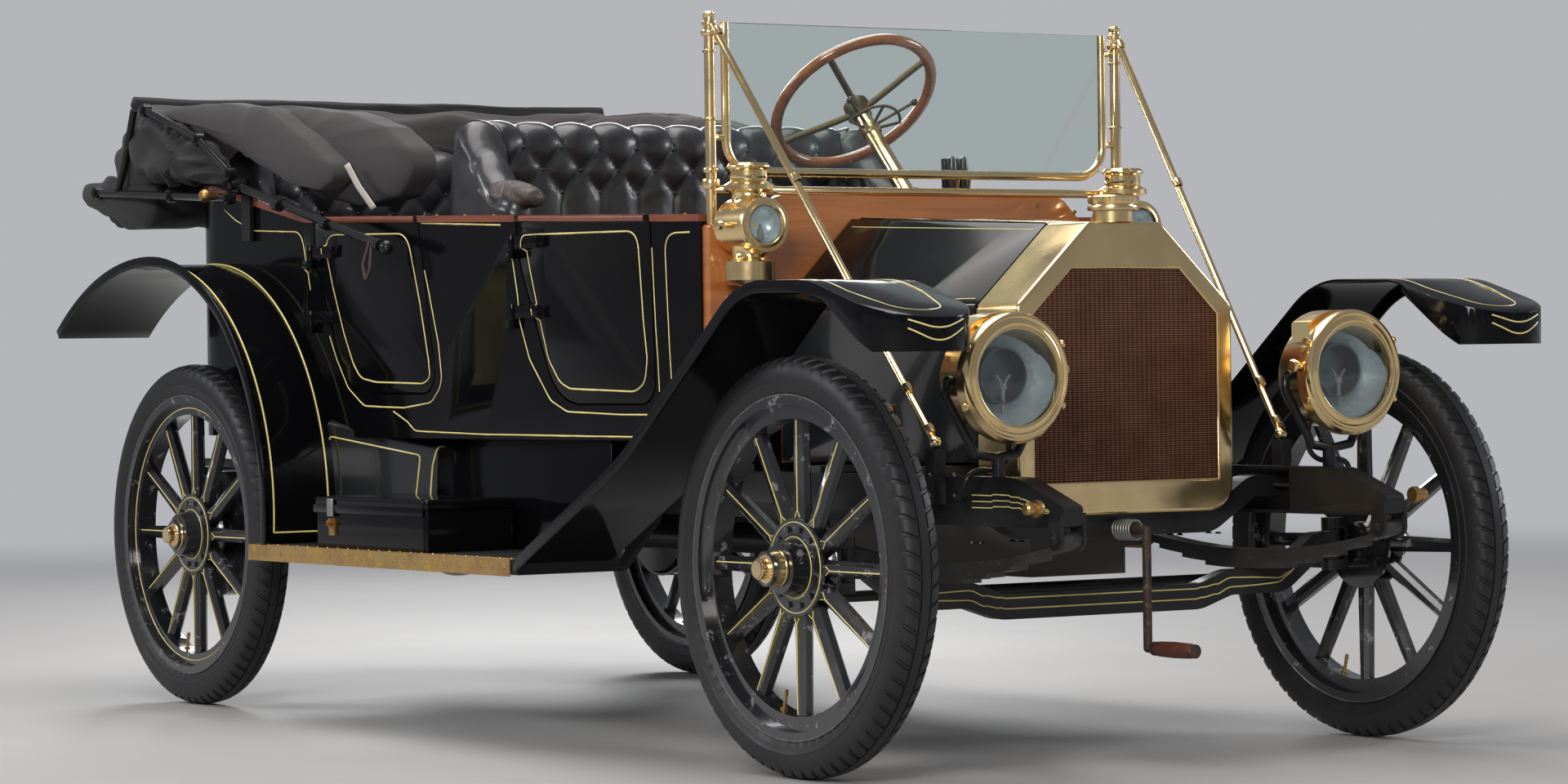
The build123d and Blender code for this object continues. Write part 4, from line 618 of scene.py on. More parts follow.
class CAR_OT_stage(bpy.types.Operator):
    """Floor, backdrop, soft lamps and the camera at the photograph's angle"""
    bl_idname = "car.stage"
    bl_label = "Stage"

    def execute(self, context):
        context.scene.view_settings.view_transform = "Standard"
        self.camera(context.scene)
        bm = bmesh.new()
        bmesh.ops.create_grid(bm, x_segments=2, y_segments=2, size=30)
        floor = piece_from(bm, "floor", "floor", None)
        self.fade_floor(FINISH["floor"].node_tree)
        self.world(context.scene)
        for lamp in LAMPS:
            self.lamp(context.scene, *lamp)
        return {"FINISHED"}

    def camera(self, scene):
        heading, pitch, roll = [radians(angle) for angle in CAMERA_ANGLES]
        ahead = Vector((cos(heading) * cos(pitch), sin(heading) * cos(pitch), sin(pitch)))
        right = Vector((sin(heading), -cos(heading), 0))
        up = right.cross(ahead)
        data = bpy.data.cameras.new("camera")
        data.sensor_width = 36
        data.lens = looks().lens
        data.clip_start, data.clip_end = 0.1, 100
        camera = bpy.data.objects.new("camera", data)
        scene.collection.objects.link(camera)
        turn = Matrix((right * cos(roll) + up * sin(roll), up * cos(roll) - right * sin(roll),
                       -ahead)).transposed().to_4x4()
        camera.matrix_world = Matrix.Translation(CAMERA_PLACE) @ turn
        scene.camera = camera

    def fade_floor(self, tree):
        """The floor runs out into the background's colour away from the car."""
        end = tree.nodes["Material Output"].inputs["Surface"]
        lit = end.links[0].from_socket
        where = node(tree, "TexCoord").outputs["Object"]
        far = node(tree, "VectorMath", operation="LENGTH", in_0=where).outputs["Value"]
        share = node(tree, "MapRange", interpolation_type="SMOOTHSTEP", Value=far,
                     in_1=FADE_FROM, in_2=FADE_TO)
        glow = node(tree, "Emission", Color=BACKDROP)
        mix = node(tree, "MixShader", in_0=share, in_1=lit, in_2=glow)
        tree.links.new(mix.outputs[0], end)

    def world(self, scene):
        """One colour behind the car and another, dimmer one that lights it."""
        scene.world = bpy.data.worlds.new("soft_room")
        scene.world.use_nodes = True
        tree = scene.world.node_tree
        tree.nodes.clear()
        path = node(tree, "LightPath").outputs
        in_sight = node(tree, "Math", operation="MAXIMUM", in_0=path["Is Camera Ray"],
                        in_1=path["Is Transmission Ray"])
        mix = node(tree, "MixShader", in_0=in_sight,
                   in_1=node(tree, "Background", Color=SKY, Strength=SKY_STRENGTH),
                   in_2=node(tree, "Background", Color=BACKDROP))
        node(tree, "OutputWorld", Surface=mix)

    def lamp(self, scene, name, spot, aim, width, height, watts, colour):
        light = bpy.data.lights.new(name, "AREA")
        light.shape = "RECTANGLE"
        light.size, light.size_y = width, height
        light.energy = watts
        light.color = colour
        holder = bpy.data.objects.new(name, light)
        scene.collection.objects.link(holder)
        holder.location = spot
        aside = (Vector(aim) - Vector(spot)).to_track_quat("-Z", "Y")
        holder.rotation_euler = aside.to_euler()


class CAR_OT_finishes(bpy.types.Operator):
    """Make every finish and give each node of the frame its own"""
    bl_idname = "car.finishes"
    bl_label = "Finishes"

    def execute(self, context):
        make_finishes(looks())
        for name, obj in NODES.items():
            obj.data.materials.clear()
            obj.data.materials.append(FINISH[FINISH_OF.get(name, SLOT_OF[name])])
        return {"FINISHED"}


# Tyres

TREAD = (
    # across and radius in millimetres, from the crown to the bead on one side
    (0.0, 406.2), (9.0, 406.0), (9.4, 402.0), (12.2, 401.6), (12.6, 405.2), (21.5, 403.4),
    (30.0, 399.8), (34.5, 396.2), (37.5, 392.2), (40.7, 386.0), (43.8, 376.0), (45.1, 366.0),
    (44.9, 358.5), (45.9, 357.0), (44.7, 355.0), (43.0, 348.0), (39.8, 340.0), (36.2, 334.5),
    (34.0, 329.0), (33.0, 320.0))
PITCHES = 72
COLUMN_SHARES = (0.0, 0.17, 0.24, 0.93)
SHOULDER = 0.0375


def hub_centre(end, side):
    return Vector((AXLE_X[end], side * WHEEL_Y, AXLE_Z))


def tyre_mesh(bm, centre):
    """Tyre with a middle rib and a row of slanted blocks on each shoulder."""
    outline = [(-across, radius) for across, radius in reversed(TREAD)] + list(TREAD[1:])
    columns = len(COLUMN_SHARES)
    turned(bm, outline, centre, Y, PITCHES * columns, closed=True)
    depth = looks().tread_depth
    step = 2 * pi / PITCHES
    for vert in bm.verts:
        local = vert.co - centre
        across, radius = local.y, sqrt(local.x ** 2 + local.z ** 2)
        pitch, part = divmod(round(atan2(local.z, local.x) / step * columns), columns)
        slant = min(abs(across), SHOULDER) / SHOULDER * 0.62 + (0.5 if across < 0 else 0.0)
        turn = (pitch + COLUMN_SHARES[part] + slant) * step
        if part < 2 and 0.0125 < abs(across) < 0.0380:
            radius -= depth * (0.6 if abs(across) > 0.036 else 1.0)
        vert.co = centre + Vector((radius * cos(turn), across, radius * sin(turn)))


class CAR_OT_tyres(bpy.types.Operator):
    """Four tyres with their tread"""
    bl_idname = "car.tyres"
    bl_label = "Tyres"

    def execute(self, context):
        for end, side, word in CORNERS:
            name = "tyre_%s_%s" % (end, word)
            bm = bmesh.new()
            tyre_mesh(bm, hub_centre(end, side))
            rubber = piece_from(bm, name + "_rubber", "tyre", "wheel_%s_%s" % (end, word),
                                30)
            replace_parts(rubber, name)
        return {"FINISHED"}


# Wheels

HUB_FACE = 0.0205
SPOKE_FACE = 0.0152
CAP_REACH = {"front": 109.0, "rear": 89.0}
SPOKE_LINES = (
    # along the spoke and across it
    ((0.110, -0.0035), (0.283, -0.0035)),
    ((0.0965, -0.012), (0.111, -0.0035), (0.0965, 0.005)))
HUB_DOME = ((20.4, 0.0), (20.4, 65.5), (21.5, 64.5), (22.5, 56.5), (30.0, 54.5), (44.0, 51.5),
            (56.0, 48.7), (57.0, 44.0), (57.2, 0.0))


class CAR_OT_wheels(bpy.types.Operator):
    """Wheel trim: coach lines, hub bolts, domes, brass caps, worn rim edges and valves"""
    bl_idname = "car.wheels"
    bl_label = "Wheels"

    def execute(self, context):
        for end, side, word in CORNERS:
            self.trim(end, "wheel_%s_%s" % (end, word), hub_centre(end, side), side * Y)
        return {"FINISHED"}

    def trim(self, end, body, centre, out):
        def at(turn, radius, lateral, reach):
            along = Vector((cos(turn), 0, sin(turn)))
            across = Vector((-sin(turn), 0, cos(turn)))
            return centre + along * radius + across * lateral + out * reach

        spokes = [radians(30 * k) for k in range(12)]
        lines = [[at(turn, radius, lateral, SPOKE_FACE) for radius, lateral in run]
                 for turn in spokes for run in SPOKE_LINES]
        lines += [ring_points(centre + out * HUB_FACE, out, 0.0875),
                  ring_points(centre + out * (HUB_FACE + 0.0015), out, 0.0590)]
        if end == "rear":
            lines.append(ring_points(centre + out * 0.0222, out, 0.302))
        stripe(body + "_lines", lines, 0.0013, body)

        bm = bmesh.new()
        for turn in spokes:
            stud(bm, at(turn + radians(15), 0.0745, 0, HUB_FACE), out, 0.0062, 0.0050, 6)
        turned(bm, HUB_DOME, centre, out)
        piece_from(bm, body + "_hub_dome", "wheel_paint", body, 30)

        nut = CAP_REACH[end] - 20
        bm = bmesh.new()
        turned(bm, [
            (56.8, 0.0), (57.0, 30.0), (57.2, 35.0), (59.0, 36.2), (62.0, 36.2), (63.5, 35.2),
            (nut - 12, 35.2), (nut - 4, 33.5), (nut + 0.6, 27.0), (nut + 0.8, 20.5),
            (nut + 3, 18.8), (nut + 12, 18.8), (nut + 13.5, 20.0), (nut + 17.5, 20.0),
            (nut + 20.3, 16.5), (nut + 20.4, 0.0)], centre, out, 40)
        for k in range(24):
            stud(bm, at(radians(15 * k), 0.0186, 0, nut / 1000 + 0.003), out, 0.0010, 0.009, 4)
        piece_from(bm, body + "_brass_cap", "brass", body, angle=30)

        bm = bmesh.new()
        for reach in (38.2, -38.2):
            turned(bm, [(reach - 2.2, 332.2), (reach, 330.5), (reach + 0.8, 332.2),
                        (reach + 0.4, 333.8), (reach - 2.2, 334.0)], centre, out, 96,
                   closed=True)
        piece_from(bm, body + "_rim_edge", "rim_edge", body)

        bm = bmesh.new()
        spot = at(radians(255), 0.287, 0, 0)
        inward = (centre - spot).normalized()
        stud(bm, spot, inward, 0.0036, 0.030, 12)
        stud(bm, spot + inward * 0.030, inward, 0.0046, 0.010, 12, top=0.0036)
        stud(bm, spot, inward, 0.0075, 0.004, 12)
        piece_from(bm, body + "_valve", "aged_brass", body)


# Coach lines on the body, in millimetres: x from the rear axle, and height

DOOR_LINES = {
    "door_front": [(1352, 1082), (1372, 1007), (1412, 883), (1437, 813), (1478, 763),
                   (1514, 749), (1746, 742), (1782, 759), (1791, 810), (1779, 895),
                   (1770, 997), (1762, 1078)],
    "door_rear": [(506, 1107), (548, 989), (598, 876), (636, 810), (667, 776), (737, 766),
                  (942, 762), (969, 776), (963, 816), (930, 944), (880, 1099)],
}
BODY_LINES = (
    [(1300, 1053), (1323, 955), (1331, 893), (1366, 813), (1443, 724), (1504, 700),
     (1700, 694), (1790, 694)],
    [(1811, 1067), (1816, 979), (1822, 877), (1828, 809), (1832, 742)],
    [(1941, 1070), (1856, 1070), (1860, 978), (1868, 834), (1876, 730), (1941, 726)],
    [(920, 1106), (964, 980), (1005, 852), (1019, 762), (974, 720), (856, 708), (683, 712),
     (613, 753), (562, 820), (531, 873)],
    [(905, 1122), (1262, 1106)],
    [(13, 1182), (70, 1155), (165, 1127), (405, 1117), (425, 1048), (445, 981)],
    [(811, 700), (872, 676), (902, 656), (1187, 650), (1594, 648), (1930, 646)],
)


class CAR_OT_body_lines(bpy.types.Operator):
    """Coach lines on the doors and the flanks"""
    bl_idname = "car.body_lines"
    bl_label = "Body lines"

    def execute(self, context):
        half = looks().stripe_width / 2
        for side, word in SIDES:
            for door, points in DOOR_LINES.items():
                name = door + "_" + word
                run = self.laid(tree_of(name), points, side, 0.06, half, closed=True)
                stripe(name + "_lines", [run], half, name)
            shell = tree_of("body_tub")
            stripe("body_lines_" + word,
                   [self.laid(shell, points, side, 0.05, half) for points in BODY_LINES], half)
        return {"FINISHED"}

    def laid(self, tree, points, side, radius, half, closed=False):
        """One line laid on a flank of the body."""
        flat = [Vector((x / 1000 + AXLE_X["rear"], 0, z / 1000)) for x, z in points]
        return cast(tree, rounded(flat, radius, closed), -side * Y, half * 0.6)


# Seats

CUSHION_Z = 0.985
CUSHION_PITCH = 0.16
CUSHION_EDGE = 0.035
CUSHION_CROWN = 0.022
BACK_THICK = 0.118
FIRST_ROW = 0.055
# Where the front face of a back, its roll and its rear face end on the way round it
FACE_END, ROLL_END, REAR_END = 0.46, 0.60, 0.94
SEATS = (
    # name, reach of the arms, height of the arms, growth of the plan, corner radius
    ("front_seat", 0.35, 1.186, 0.018, 0.13),
    ("rear_seat", 0.33, 1.196, -0.012, 0.17))


def path_of(points, radius):
    """A rounded path in plan, and how far along it each of its places is."""
    run = rounded([Vector((x, y, 0)) for x, y in points], radius, step=0.010)
    lengths = [0.0]
    for a, b in zip(run, run[1:]):
        lengths.append(lengths[-1] + (b - a).length)
    return run, lengths


def on_path(run, lengths, share):
    """Place, inward direction and distance at a share of the path."""
    goal = share * lengths[-1]
    index = min(len(run) - 2, max(0, bisect_left(lengths, goal) - 1))
    part = (goal - lengths[index]) / max(1e-9, lengths[index + 1] - lengths[index])
    ahead = (run[min(index + 2, len(run) - 1)] - run[max(index - 1, 0)]).normalized()
    return run[index].lerp(run[index + 1], part), Vector((ahead.y, -ahead.x, 0)), goal


def puff(across, down, rows):
    """Height of buttoned leather: diamonds for the given rows, long pleats above and below."""
    diamond = sqrt(abs(sin(pi * (across + down)) * sin(pi * (across - down))))
    above = abs(sin(pi * across)) ** 0.5
    below = abs(sin(pi * (across + rows / 2))) ** 0.5
    height = diamond ** 0.75
    height += (above * 0.95 - height) * (1 - smooth_step(-0.12, 0.06, down))
    return height + (below * 0.95 - height) * smooth_step(rows / 2 - 0.06, rows / 2 + 0.14, down)


def seat_back(name, low, high, arm_reach, arm_z, corner):
    """Buttoned back that wraps round to both arms, as one padded shell."""
    pitch = looks().tuft_pitch
    end_x = low.x + arm_reach
    run, lengths = path_of([(end_x, low.y), (low.x, low.y), (low.x, high.y), (end_x, high.y)],
                           corner)
    total = lengths[-1]

    def arm_at(spot):
        return smooth_step(low.x + 0.10, end_x, spot.x)

    def top_at(spot):
        share = smooth_step(low.x + 0.08, end_x, spot.x)
        return arm_z + (high.z - arm_z) * (1 - share) ** 1.6

    def shape(u, v):
        # A loop: up the front face, over the roll, down the back and under
        spot, inward, gone = on_path(run, lengths, u)
        arm = arm_at(spot)
        deep = BACK_THICK * (1 - 0.35 * arm)
        high_z = top_at(spot)
        roll = 0.052 * (1 - 0.2 * arm)
        face = high_z - roll - low.z
        from_top, out_n, out_z = -1.0, 0.0, 0.0
        if v < FACE_END:
            depth, height = deep, low.z + face * (v / FACE_END)
            from_top, out_n = high_z - height, 1.0
        elif v < ROLL_END:
            turn = pi * (v - FACE_END) / (ROLL_END - FACE_END)
            out_n, out_z = cos(turn), sin(turn)
            depth = deep - roll + roll * out_n
            height = high_z - roll + roll * out_z
            from_top = roll * (1 - turn / pi * 1.2)
        elif v < REAR_END:
            part = (v - ROLL_END) / (REAR_END - ROLL_END)
            depth = (deep - 2.0 * roll) * (1 - part) ** 6
            height = low.z + face * (1 - part)
        else:
            depth, height = deep * (v - REAR_END) / (1 - REAR_END), low.z
        if from_top > -0.06 and height > CUSHION_Z - 0.02:
            lift = puff((gone - total / 2) / pitch, (from_top - FIRST_ROW) / pitch, 2)
            lift *= 0.016 * (1 - 0.6 * smooth_step(0.0, 0.05, -from_top)) * (1 - 0.75 * arm)
            lift += 0.0024 * noise.noise(Vector((gone * 30, height * 22, low.x))) - 0.010
            depth += out_n * lift
            height += out_z * lift
        tip = sqrt(max(0.0, 1 - (1 - min(1.0, min(gone, total - gone) / 0.05)) ** 2))
        middle_z = (low.z + high_z) / 2
        depth = deep / 2 + (depth - deep / 2) * (0.35 + 0.65 * tip)
        height = middle_z + (height - middle_z) * (0.93 + 0.07 * tip)
        return spot + inward * depth + Z * height

    back = net(name, int(total / 0.0075), 150, shape, "black_leather", 70,
               fill=True)

    bm = bmesh.new()
    count = int(total / pitch) + 1
    for row in range(3):
        for column in range(-count, count + 1):
            gone = total / 2 + (column + (row % 2) / 2) * pitch
            if not 0.20 < gone < total - 0.20:
                continue
            spot, inward, _ = on_path(run, lengths, gone / total)
            height = top_at(spot) - FIRST_ROW - row / 2 * pitch
            if height >= CUSHION_Z + 0.01:
                depth = BACK_THICK * (1 - 0.35 * arm_at(spot)) - 0.0095
                ball(bm, spot + inward * depth + Z * height, 0.0065, 10, 6)
    piece_from(bm, name + "_buttons", "black_leather", angle=60)
    return back


def cushion(name, low, high):
    """Loose seat cushion with a crowned, buttoned top and pulled-in sides."""
    bm = bmesh.new()
    bmesh.ops.create_cube(bm, size=2.0)
    bmesh.ops.subdivide_edges(bm, edges=bm.edges, cuts=46, use_grid_fill=True)
    half = (high - low) / 2
    for vert in bm.verts:
        unit = vert.co.copy()
        point = Vector([unit[k] * half[k] for k in range(3)])
        inner = Vector([max(-half[k] + CUSHION_EDGE, min(half[k] - CUSHION_EDGE, point[k]))
                        for k in range(3)])
        away = point - inner
        if away.length > 1e-6:
            point = inner + away.normalized() * CUSHION_EDGE
        if unit.z > 0.2:
            bulge = (1 - unit.x ** 2) * (1 - unit.y ** 2)
            tufts = puff(point.y / CUSHION_PITCH, (point.x / CUSHION_PITCH) % 1.0, 4) ** 0.8
            point.z += CUSHION_CROWN * bulge ** 0.5
            point.z += smooth_step(0.0, 0.25, bulge) * 0.016 * (tufts - 0.6)
        if abs(unit.x) > 0.98:
            point.x -= 0.006 * (1 - unit.y ** 2) * unit.x
        vert.co = (low + high) / 2 + point
    pad = piece_from(bm, name, "black_leather", angle=60)
    return pad


class CAR_OT_seats(bpy.types.Operator):
    """Two buttoned leather benches: backs with arms, cushions, welts and risers"""
    bl_idname = "car.seats"
    bl_label = "Seats"

    def execute(self, context):
        for seat in SEATS:
            self.bench(*seat)
        return {"FINISHED"}

    def bench(self, name, arm_reach, arm_z, grow, corner):
        low, high = [Vector(spot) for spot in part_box(name)]
        low -= Vector((grow, grow, 0))
        high.y += grow
        back = seat_back(name + "_back", low, high, arm_reach, arm_z, corner)
        bm = bmesh.new()
        block(bm, low + Vector((0.10, 0.02, 0)),
              (high.x - 0.018, high.y - 0.02, CUSHION_Z - 0.10))
        soften(bm, bm.edges[:], 0.006)
        riser = piece_from(bm, name + "_riser", "black_leather")
        pad_low = Vector((low.x + 0.105, low.y + 0.085, CUSHION_Z - 0.112))
        pad_high = Vector((high.x, high.y - 0.085, CUSHION_Z))
        pad = cushion(name + "_cushion", pad_low, pad_high)
        rear_x, front_x = pad_low.x + 0.02, pad_high.x - 0.004
        right_y, left_y = pad_low.y + 0.01, pad_high.y - 0.01
        plan = ((rear_x, right_y), (front_x, right_y), (front_x, left_y), (rear_x, left_y))
        welts = [rounded([(x, y, CUSHION_Z - drop) for x, y in plan], 0.03)
                 for drop in (0.012, 0.098)]
        line_piece(name + "_welts", welts, 0.0042, "black_leather")
        for piece in (back, riser, pad):
            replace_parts(piece, name)
        self.worn_arms(name, low, high, arm_z)

    def worn_arms(self, name, low, high, arm_z):
        """Rubbed reddish leather over the front end of each arm."""
        for side, word in SIDES:
            edge_y = high.y if side > 0 else low.y

            def shape(u, v):
                turn = 2 * pi * u
                lumps = noise.noise(Vector((cos(turn) * 1.6, sin(turn) * 1.6, v * 9 + side)))
                size = 1 + 0.09 * sin(v * 34 + 2.2 * sin(turn * 2)) + 0.10 * lumps
                size *= sin(pi * (v * 0.94 + 0.03)) ** 0.35
                return Vector((low.x + 0.115 + 0.265 * v,
                               edge_y - side * (0.050 - 0.0468 * size * cos(turn)),
                               arm_z - 0.004 + 0.033 * size * sin(turn) - 0.016 * v))

            pad = net("%s_arm_end_%s" % (name, word), 36, 44, shape, "worn_leather",
                      80, fill=True)


# Folded top

def roll_of_cloth(name, section, reach, finish, folds, gather, seed, across=150, taper=0.05,
                  sway=0.0, pleats=None):
    """Folded cloth from one y to another: a creased section of (x, z) in millimetres, closed
    at its ends and as thick as padding."""
    loop = rounded([Vector((x / 1000, 0, z / 1000)) for x, z in section], 0.05, closed=True,
                   step=0.008)
    count = len(loop)
    middle = sum(loop, Vector()) / count

    def shape(u, v):
        side = 2 * u - 1
        index = v * (count - 1)
        low = int(index) % count
        point = loop[low].lerp(loop[(low + 1) % count], index - int(index))
        away = point - middle
        close = sqrt(max(0.0, 1 - (1 - min(1.0, (1 - abs(side)) / taper)) ** 2))
        turn = atan2(away.z, away.x)
        y = reach[0] + (reach[1] - reach[0]) * u
        wander = 5 * noise.noise(Vector((y * 4.5, turn * 0.6, seed)))
        lumps = noise.noise(Vector((y * 8.5 + seed, point.x * 14, point.z * 14)))
        crease = gather * (0.5 * sin(folds * turn + wander) + lumps)
        at = middle + (away * (0.06 + 0.94 * close) + away.normalized() * crease * close)
        if pleats:
            depth, fan_x, fan_z = pleats
            fan = atan2(at.z - fan_z, fan_x - at.x)
            fold = 0.5 + 0.5 * sin(24 * fan + 5 * noise.noise(at * 7))
            y -= copysign(depth * fold * min(1.0, 3 * (1 - close)), side)
            return at + Y * y
        return at + Vector((0, y, -sway * sin(y * 13.0 + seed + point.x * 4)))

    piece = net(name, across, count, shape, finish, 80, fill=True)
    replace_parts(piece, "folded_top")


class CAR_OT_folded_top(bpy.types.Operator):
    """The folded top: bow, lining, gathered cloth, sockets, knobs and straps"""
    bl_idname = "car.folded_top"
    bl_label = "Folded top"

    def execute(self, context):
        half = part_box("folded_top")[1].y
        whole = (-half + 0.005, half - 0.005)
        roll_of_cloth(
            "top_bow_cover", [(-1548, 1440), (-1548, 1470), (-1536, 1474), (-1522, 1470),
                              (-1522, 1440), (-1536, 1434)],
            whole, "top_fabric", 5, 0.0022, 2.0, taper=0.012, sway=0.0016)
        roll_of_cloth(
            "top_curtain", [(-1546, 1446), (-1500, 1450), (-1446, 1436), (-1430, 1380),
                            (-1436, 1300), (-1470, 1250), (-1540, 1260), (-1560, 1340)],
            whole, "top_lining", 4, 0.010, 8.0, taper=0.03, sway=0.004)
        roll_of_cloth(
            "top_bundle", [(-1450, 1420), (-1560, 1400), (-1667, 1360), (-1686, 1313),
                           (-1640, 1262), (-1569, 1246), (-1470, 1240), (-1440, 1300)],
            whole, "top_fabric", 9, 0.020, 11.0, taper=0.04, sway=0.006, across=190)
        roll_of_cloth(
            "top_lower_roll", [(-1560, 1284), (-1700, 1288), (-1862, 1276), (-1876, 1244),
                               (-1842, 1220), (-1775, 1210), (-1703, 1179), (-1620, 1158),
                               (-1470, 1150), (-1438, 1180), (-1440, 1250)],
            whole, "top_fabric", 7, 0.014, 17.0, taper=0.04, sway=0.005, across=190)
        for side, word in SIDES:
            roll_of_cloth(
                "top_side_lobe_" + word,
                [(-1500, 1430), (-1411, 1444), (-1150, 1440), (-932, 1416), (-733, 1336),
                 (-601, 1270), (-590, 1235), (-660, 1212), (-790, 1230), (-1000, 1300),
                 (-1300, 1394)],
                (side * 0.556, side * 0.650), "top_lining", 3, 0.006, 5.0 + side, across=44,
                taper=0.5)
            roll_of_cloth(
                "top_inner_lobe_" + word,
                [(-1470, 1410), (-1200, 1428), (-950, 1420), (-700, 1396), (-500, 1352),
                 (-385, 1296), (-362, 1240), (-440, 1190), (-620, 1172), (-793, 1200),
                 (-950, 1262), (-1300, 1360)],
                (side * 0.440, side * 0.580), "top_lining", 3, 0.006, 7.0 + side, across=44,
                taper=0.6)
            roll_of_cloth(
                "top_side_gathers_" + word,
                [(-1500, 1436), (-1440, 1432), (-1250, 1372), (-1060, 1300), (-1010, 1262),
                 (-1060, 1240), (-1200, 1244), (-1420, 1262), (-1560, 1290), (-1560, 1380)],
                (side * 0.640, side * (half + 0.002)), "top_fabric", 11, 0.024, 13.0 + side,
                across=60, taper=0.7, pleats=(0.026, -0.97, 1.25))
        for side, word in SIDES:
            self.sockets(side, word, side * (half + 0.004))
            self.pale_strap(side, word)
            self.iron(side, word)
        return {"FINISHED"}

    def sockets(self, side, word, y):
        """Sockets that hold the bows, their joints and the knob between them."""
        bars = (((-1.434, 1.436), (-1.150, 1.352), (-0.985, 1.262)),
                ((-1.713, 1.244), (-1.300, 1.222), (-0.990, 1.205)),
                ((-1.500, 1.440), (-1.560, 1.300), (-1.600, 1.240)))
        line_piece("top_sockets_" + word, [[(x, y, z) for x, z in bar] for bar in bars],
                   0.0095, "chassis_paint")
        bm = bmesh.new()
        for x, z in bars[0] + bars[1]:
            stud(bm, (x, y - side * 0.010, z), side * Y, 0.016, 0.020, 12)
            stud(bm, (x, y + side * 0.009, z), side * Y, 0.0085, 0.006, 6)
        piece_from(bm, "top_joints_" + word, "chassis_paint")
        lathed("top_knob_" + word, "aged_brass",
               [(0, 0), (0.5, 10.5), (12, 11.5), (24, 15), (34, 15), (40, 11), (41.5, 0)],
               (-1.052, y + side * 0.004, 1.213), side * Y, 24)

    def pale_strap(self, side, word):
        """Flat strap that hangs at the front of the fold."""
        path = rounded([(-0.571, side * 0.604, 1.268), (-0.520, side * 0.602, 1.215),
                        (-0.452, side * 0.600, 1.162)], 0.03)
        last = len(path) - 1
        width = 0.022

        def shape(u, v):
            index = min(last - 1, int(v * last))
            spot = path[index].lerp(path[index + 1], v * last - index)
            return spot + Vector((1, 0, 0.3)) * ((u - 0.5) * width)

        strap = net("top_pale_strap_" + word, 4, len(path), shape, "pale_strap",
                    60, thickness=0.0025)

    def iron(self, side, word):
        """Hanging strap and collars of the iron that reaches over the rear seat."""
        name = "top_iron_" + word
        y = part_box(name)[1 if side > 0 else 0].y - side * 0.012
        loop = [(-0.300, y, 1.086), (-0.312, y + side * 0.012, 1.030),
                (-0.296, y + side * 0.014, 0.992), (-0.283, y + side * 0.010, 1.020),
                (-0.290, y, 1.084)]
        line_piece("top_strap_" + word, [rounded(loop, 0.012)], 0.0042, "strap_leather", name)
        bm = bmesh.new()
        start = Vector((-0.990, 0, 1.228))
        run = Vector((-0.232, 0, 1.067)) - start
        for share in (0.30, 0.62, 0.955):
            spot = start + run * share + Y * side * (0.681 + 0.012 * share)
            stud(bm, spot - run.normalized() * 0.012, run, 0.0135, 0.024, 16)
        piece_from(bm, "top_iron_collars_" + word, "chassis_paint", name)


# Fenders, boards and aprons

FENDER_PLAN = ((1.10, 0.712), (1.30, 0.655), (1.52, 0.632), (1.74, 0.634), (1.85, 0.665),
               (1.868, 0.7175), (1.85, 0.772), (1.74, 0.802), (1.52, 0.803), (1.30, 0.778))


class CAR_OT_fenders(bpy.types.Operator):
    """Fenders with softened edges and double coach lines, front and rear"""
    bl_idname = "car.fenders"
    bl_label = "Fenders"

    def execute(self, context):
        half = looks().stripe_width / 2
        for name in ("front_fenders", "rear_fenders", "splash_aprons"):
            dress(name, 0.0012, 2, 34)
        front, rear = tree_of("front_fenders"), tree_of("rear_fenders")
        for side, word in SIDES:
            loop = rounded([(x, side * y, 1.2) for x, y in FENDER_PLAN], 0.10, closed=True)
            runs = [cast(front, loop, -Z, half * 0.6)]
            for drop in (0.0, 0.016):
                arc = ((0.655, 0.876 - drop), (0.7175, 0.856 - drop * 1.6),
                       (0.780, 0.876 - drop))
                bend = rounded([(2.2, side * y, z) for y, z in arc], 0.10, step=0.006)
                runs.append(cast(front, bend, -X, half * 0.6))
            stripe("fender_front_lines_" + word, runs, half)
            runs = [self.over_wheel(rear, side * y, half) for y in (0.808, 0.668)]
            runs.append([runs[0][-1].lerp(runs[1][-1], k / 8) for k in range(9)])
            stripe("fender_rear_lines_" + word, runs, half)
        return {"FINISHED"}

    def over_wheel(self, tree, y, half):
        """Line over the rear fender, dropped on it toward the wheel's axis."""
        centre = Vector((AXLE_X["rear"], y, AXLE_Z))
        found = []
        for step in range(70):
            turn = radians(138 - 136 * step / 69)
            away = Vector((cos(turn), 0, sin(turn)))
            hit = tree.ray_cast(centre + away * 1.2, -away)[0]
            if hit is not None:
                found.append(hit + away * half * 0.4)
        return found


BOARD_TOP = 0.398
EDGING = ((0.0, -0.034), (0.0022, -0.034), (0.0022, 0.0022), (-0.030, 0.0022), (-0.030, 0.0),
          (0.0, 0.0))


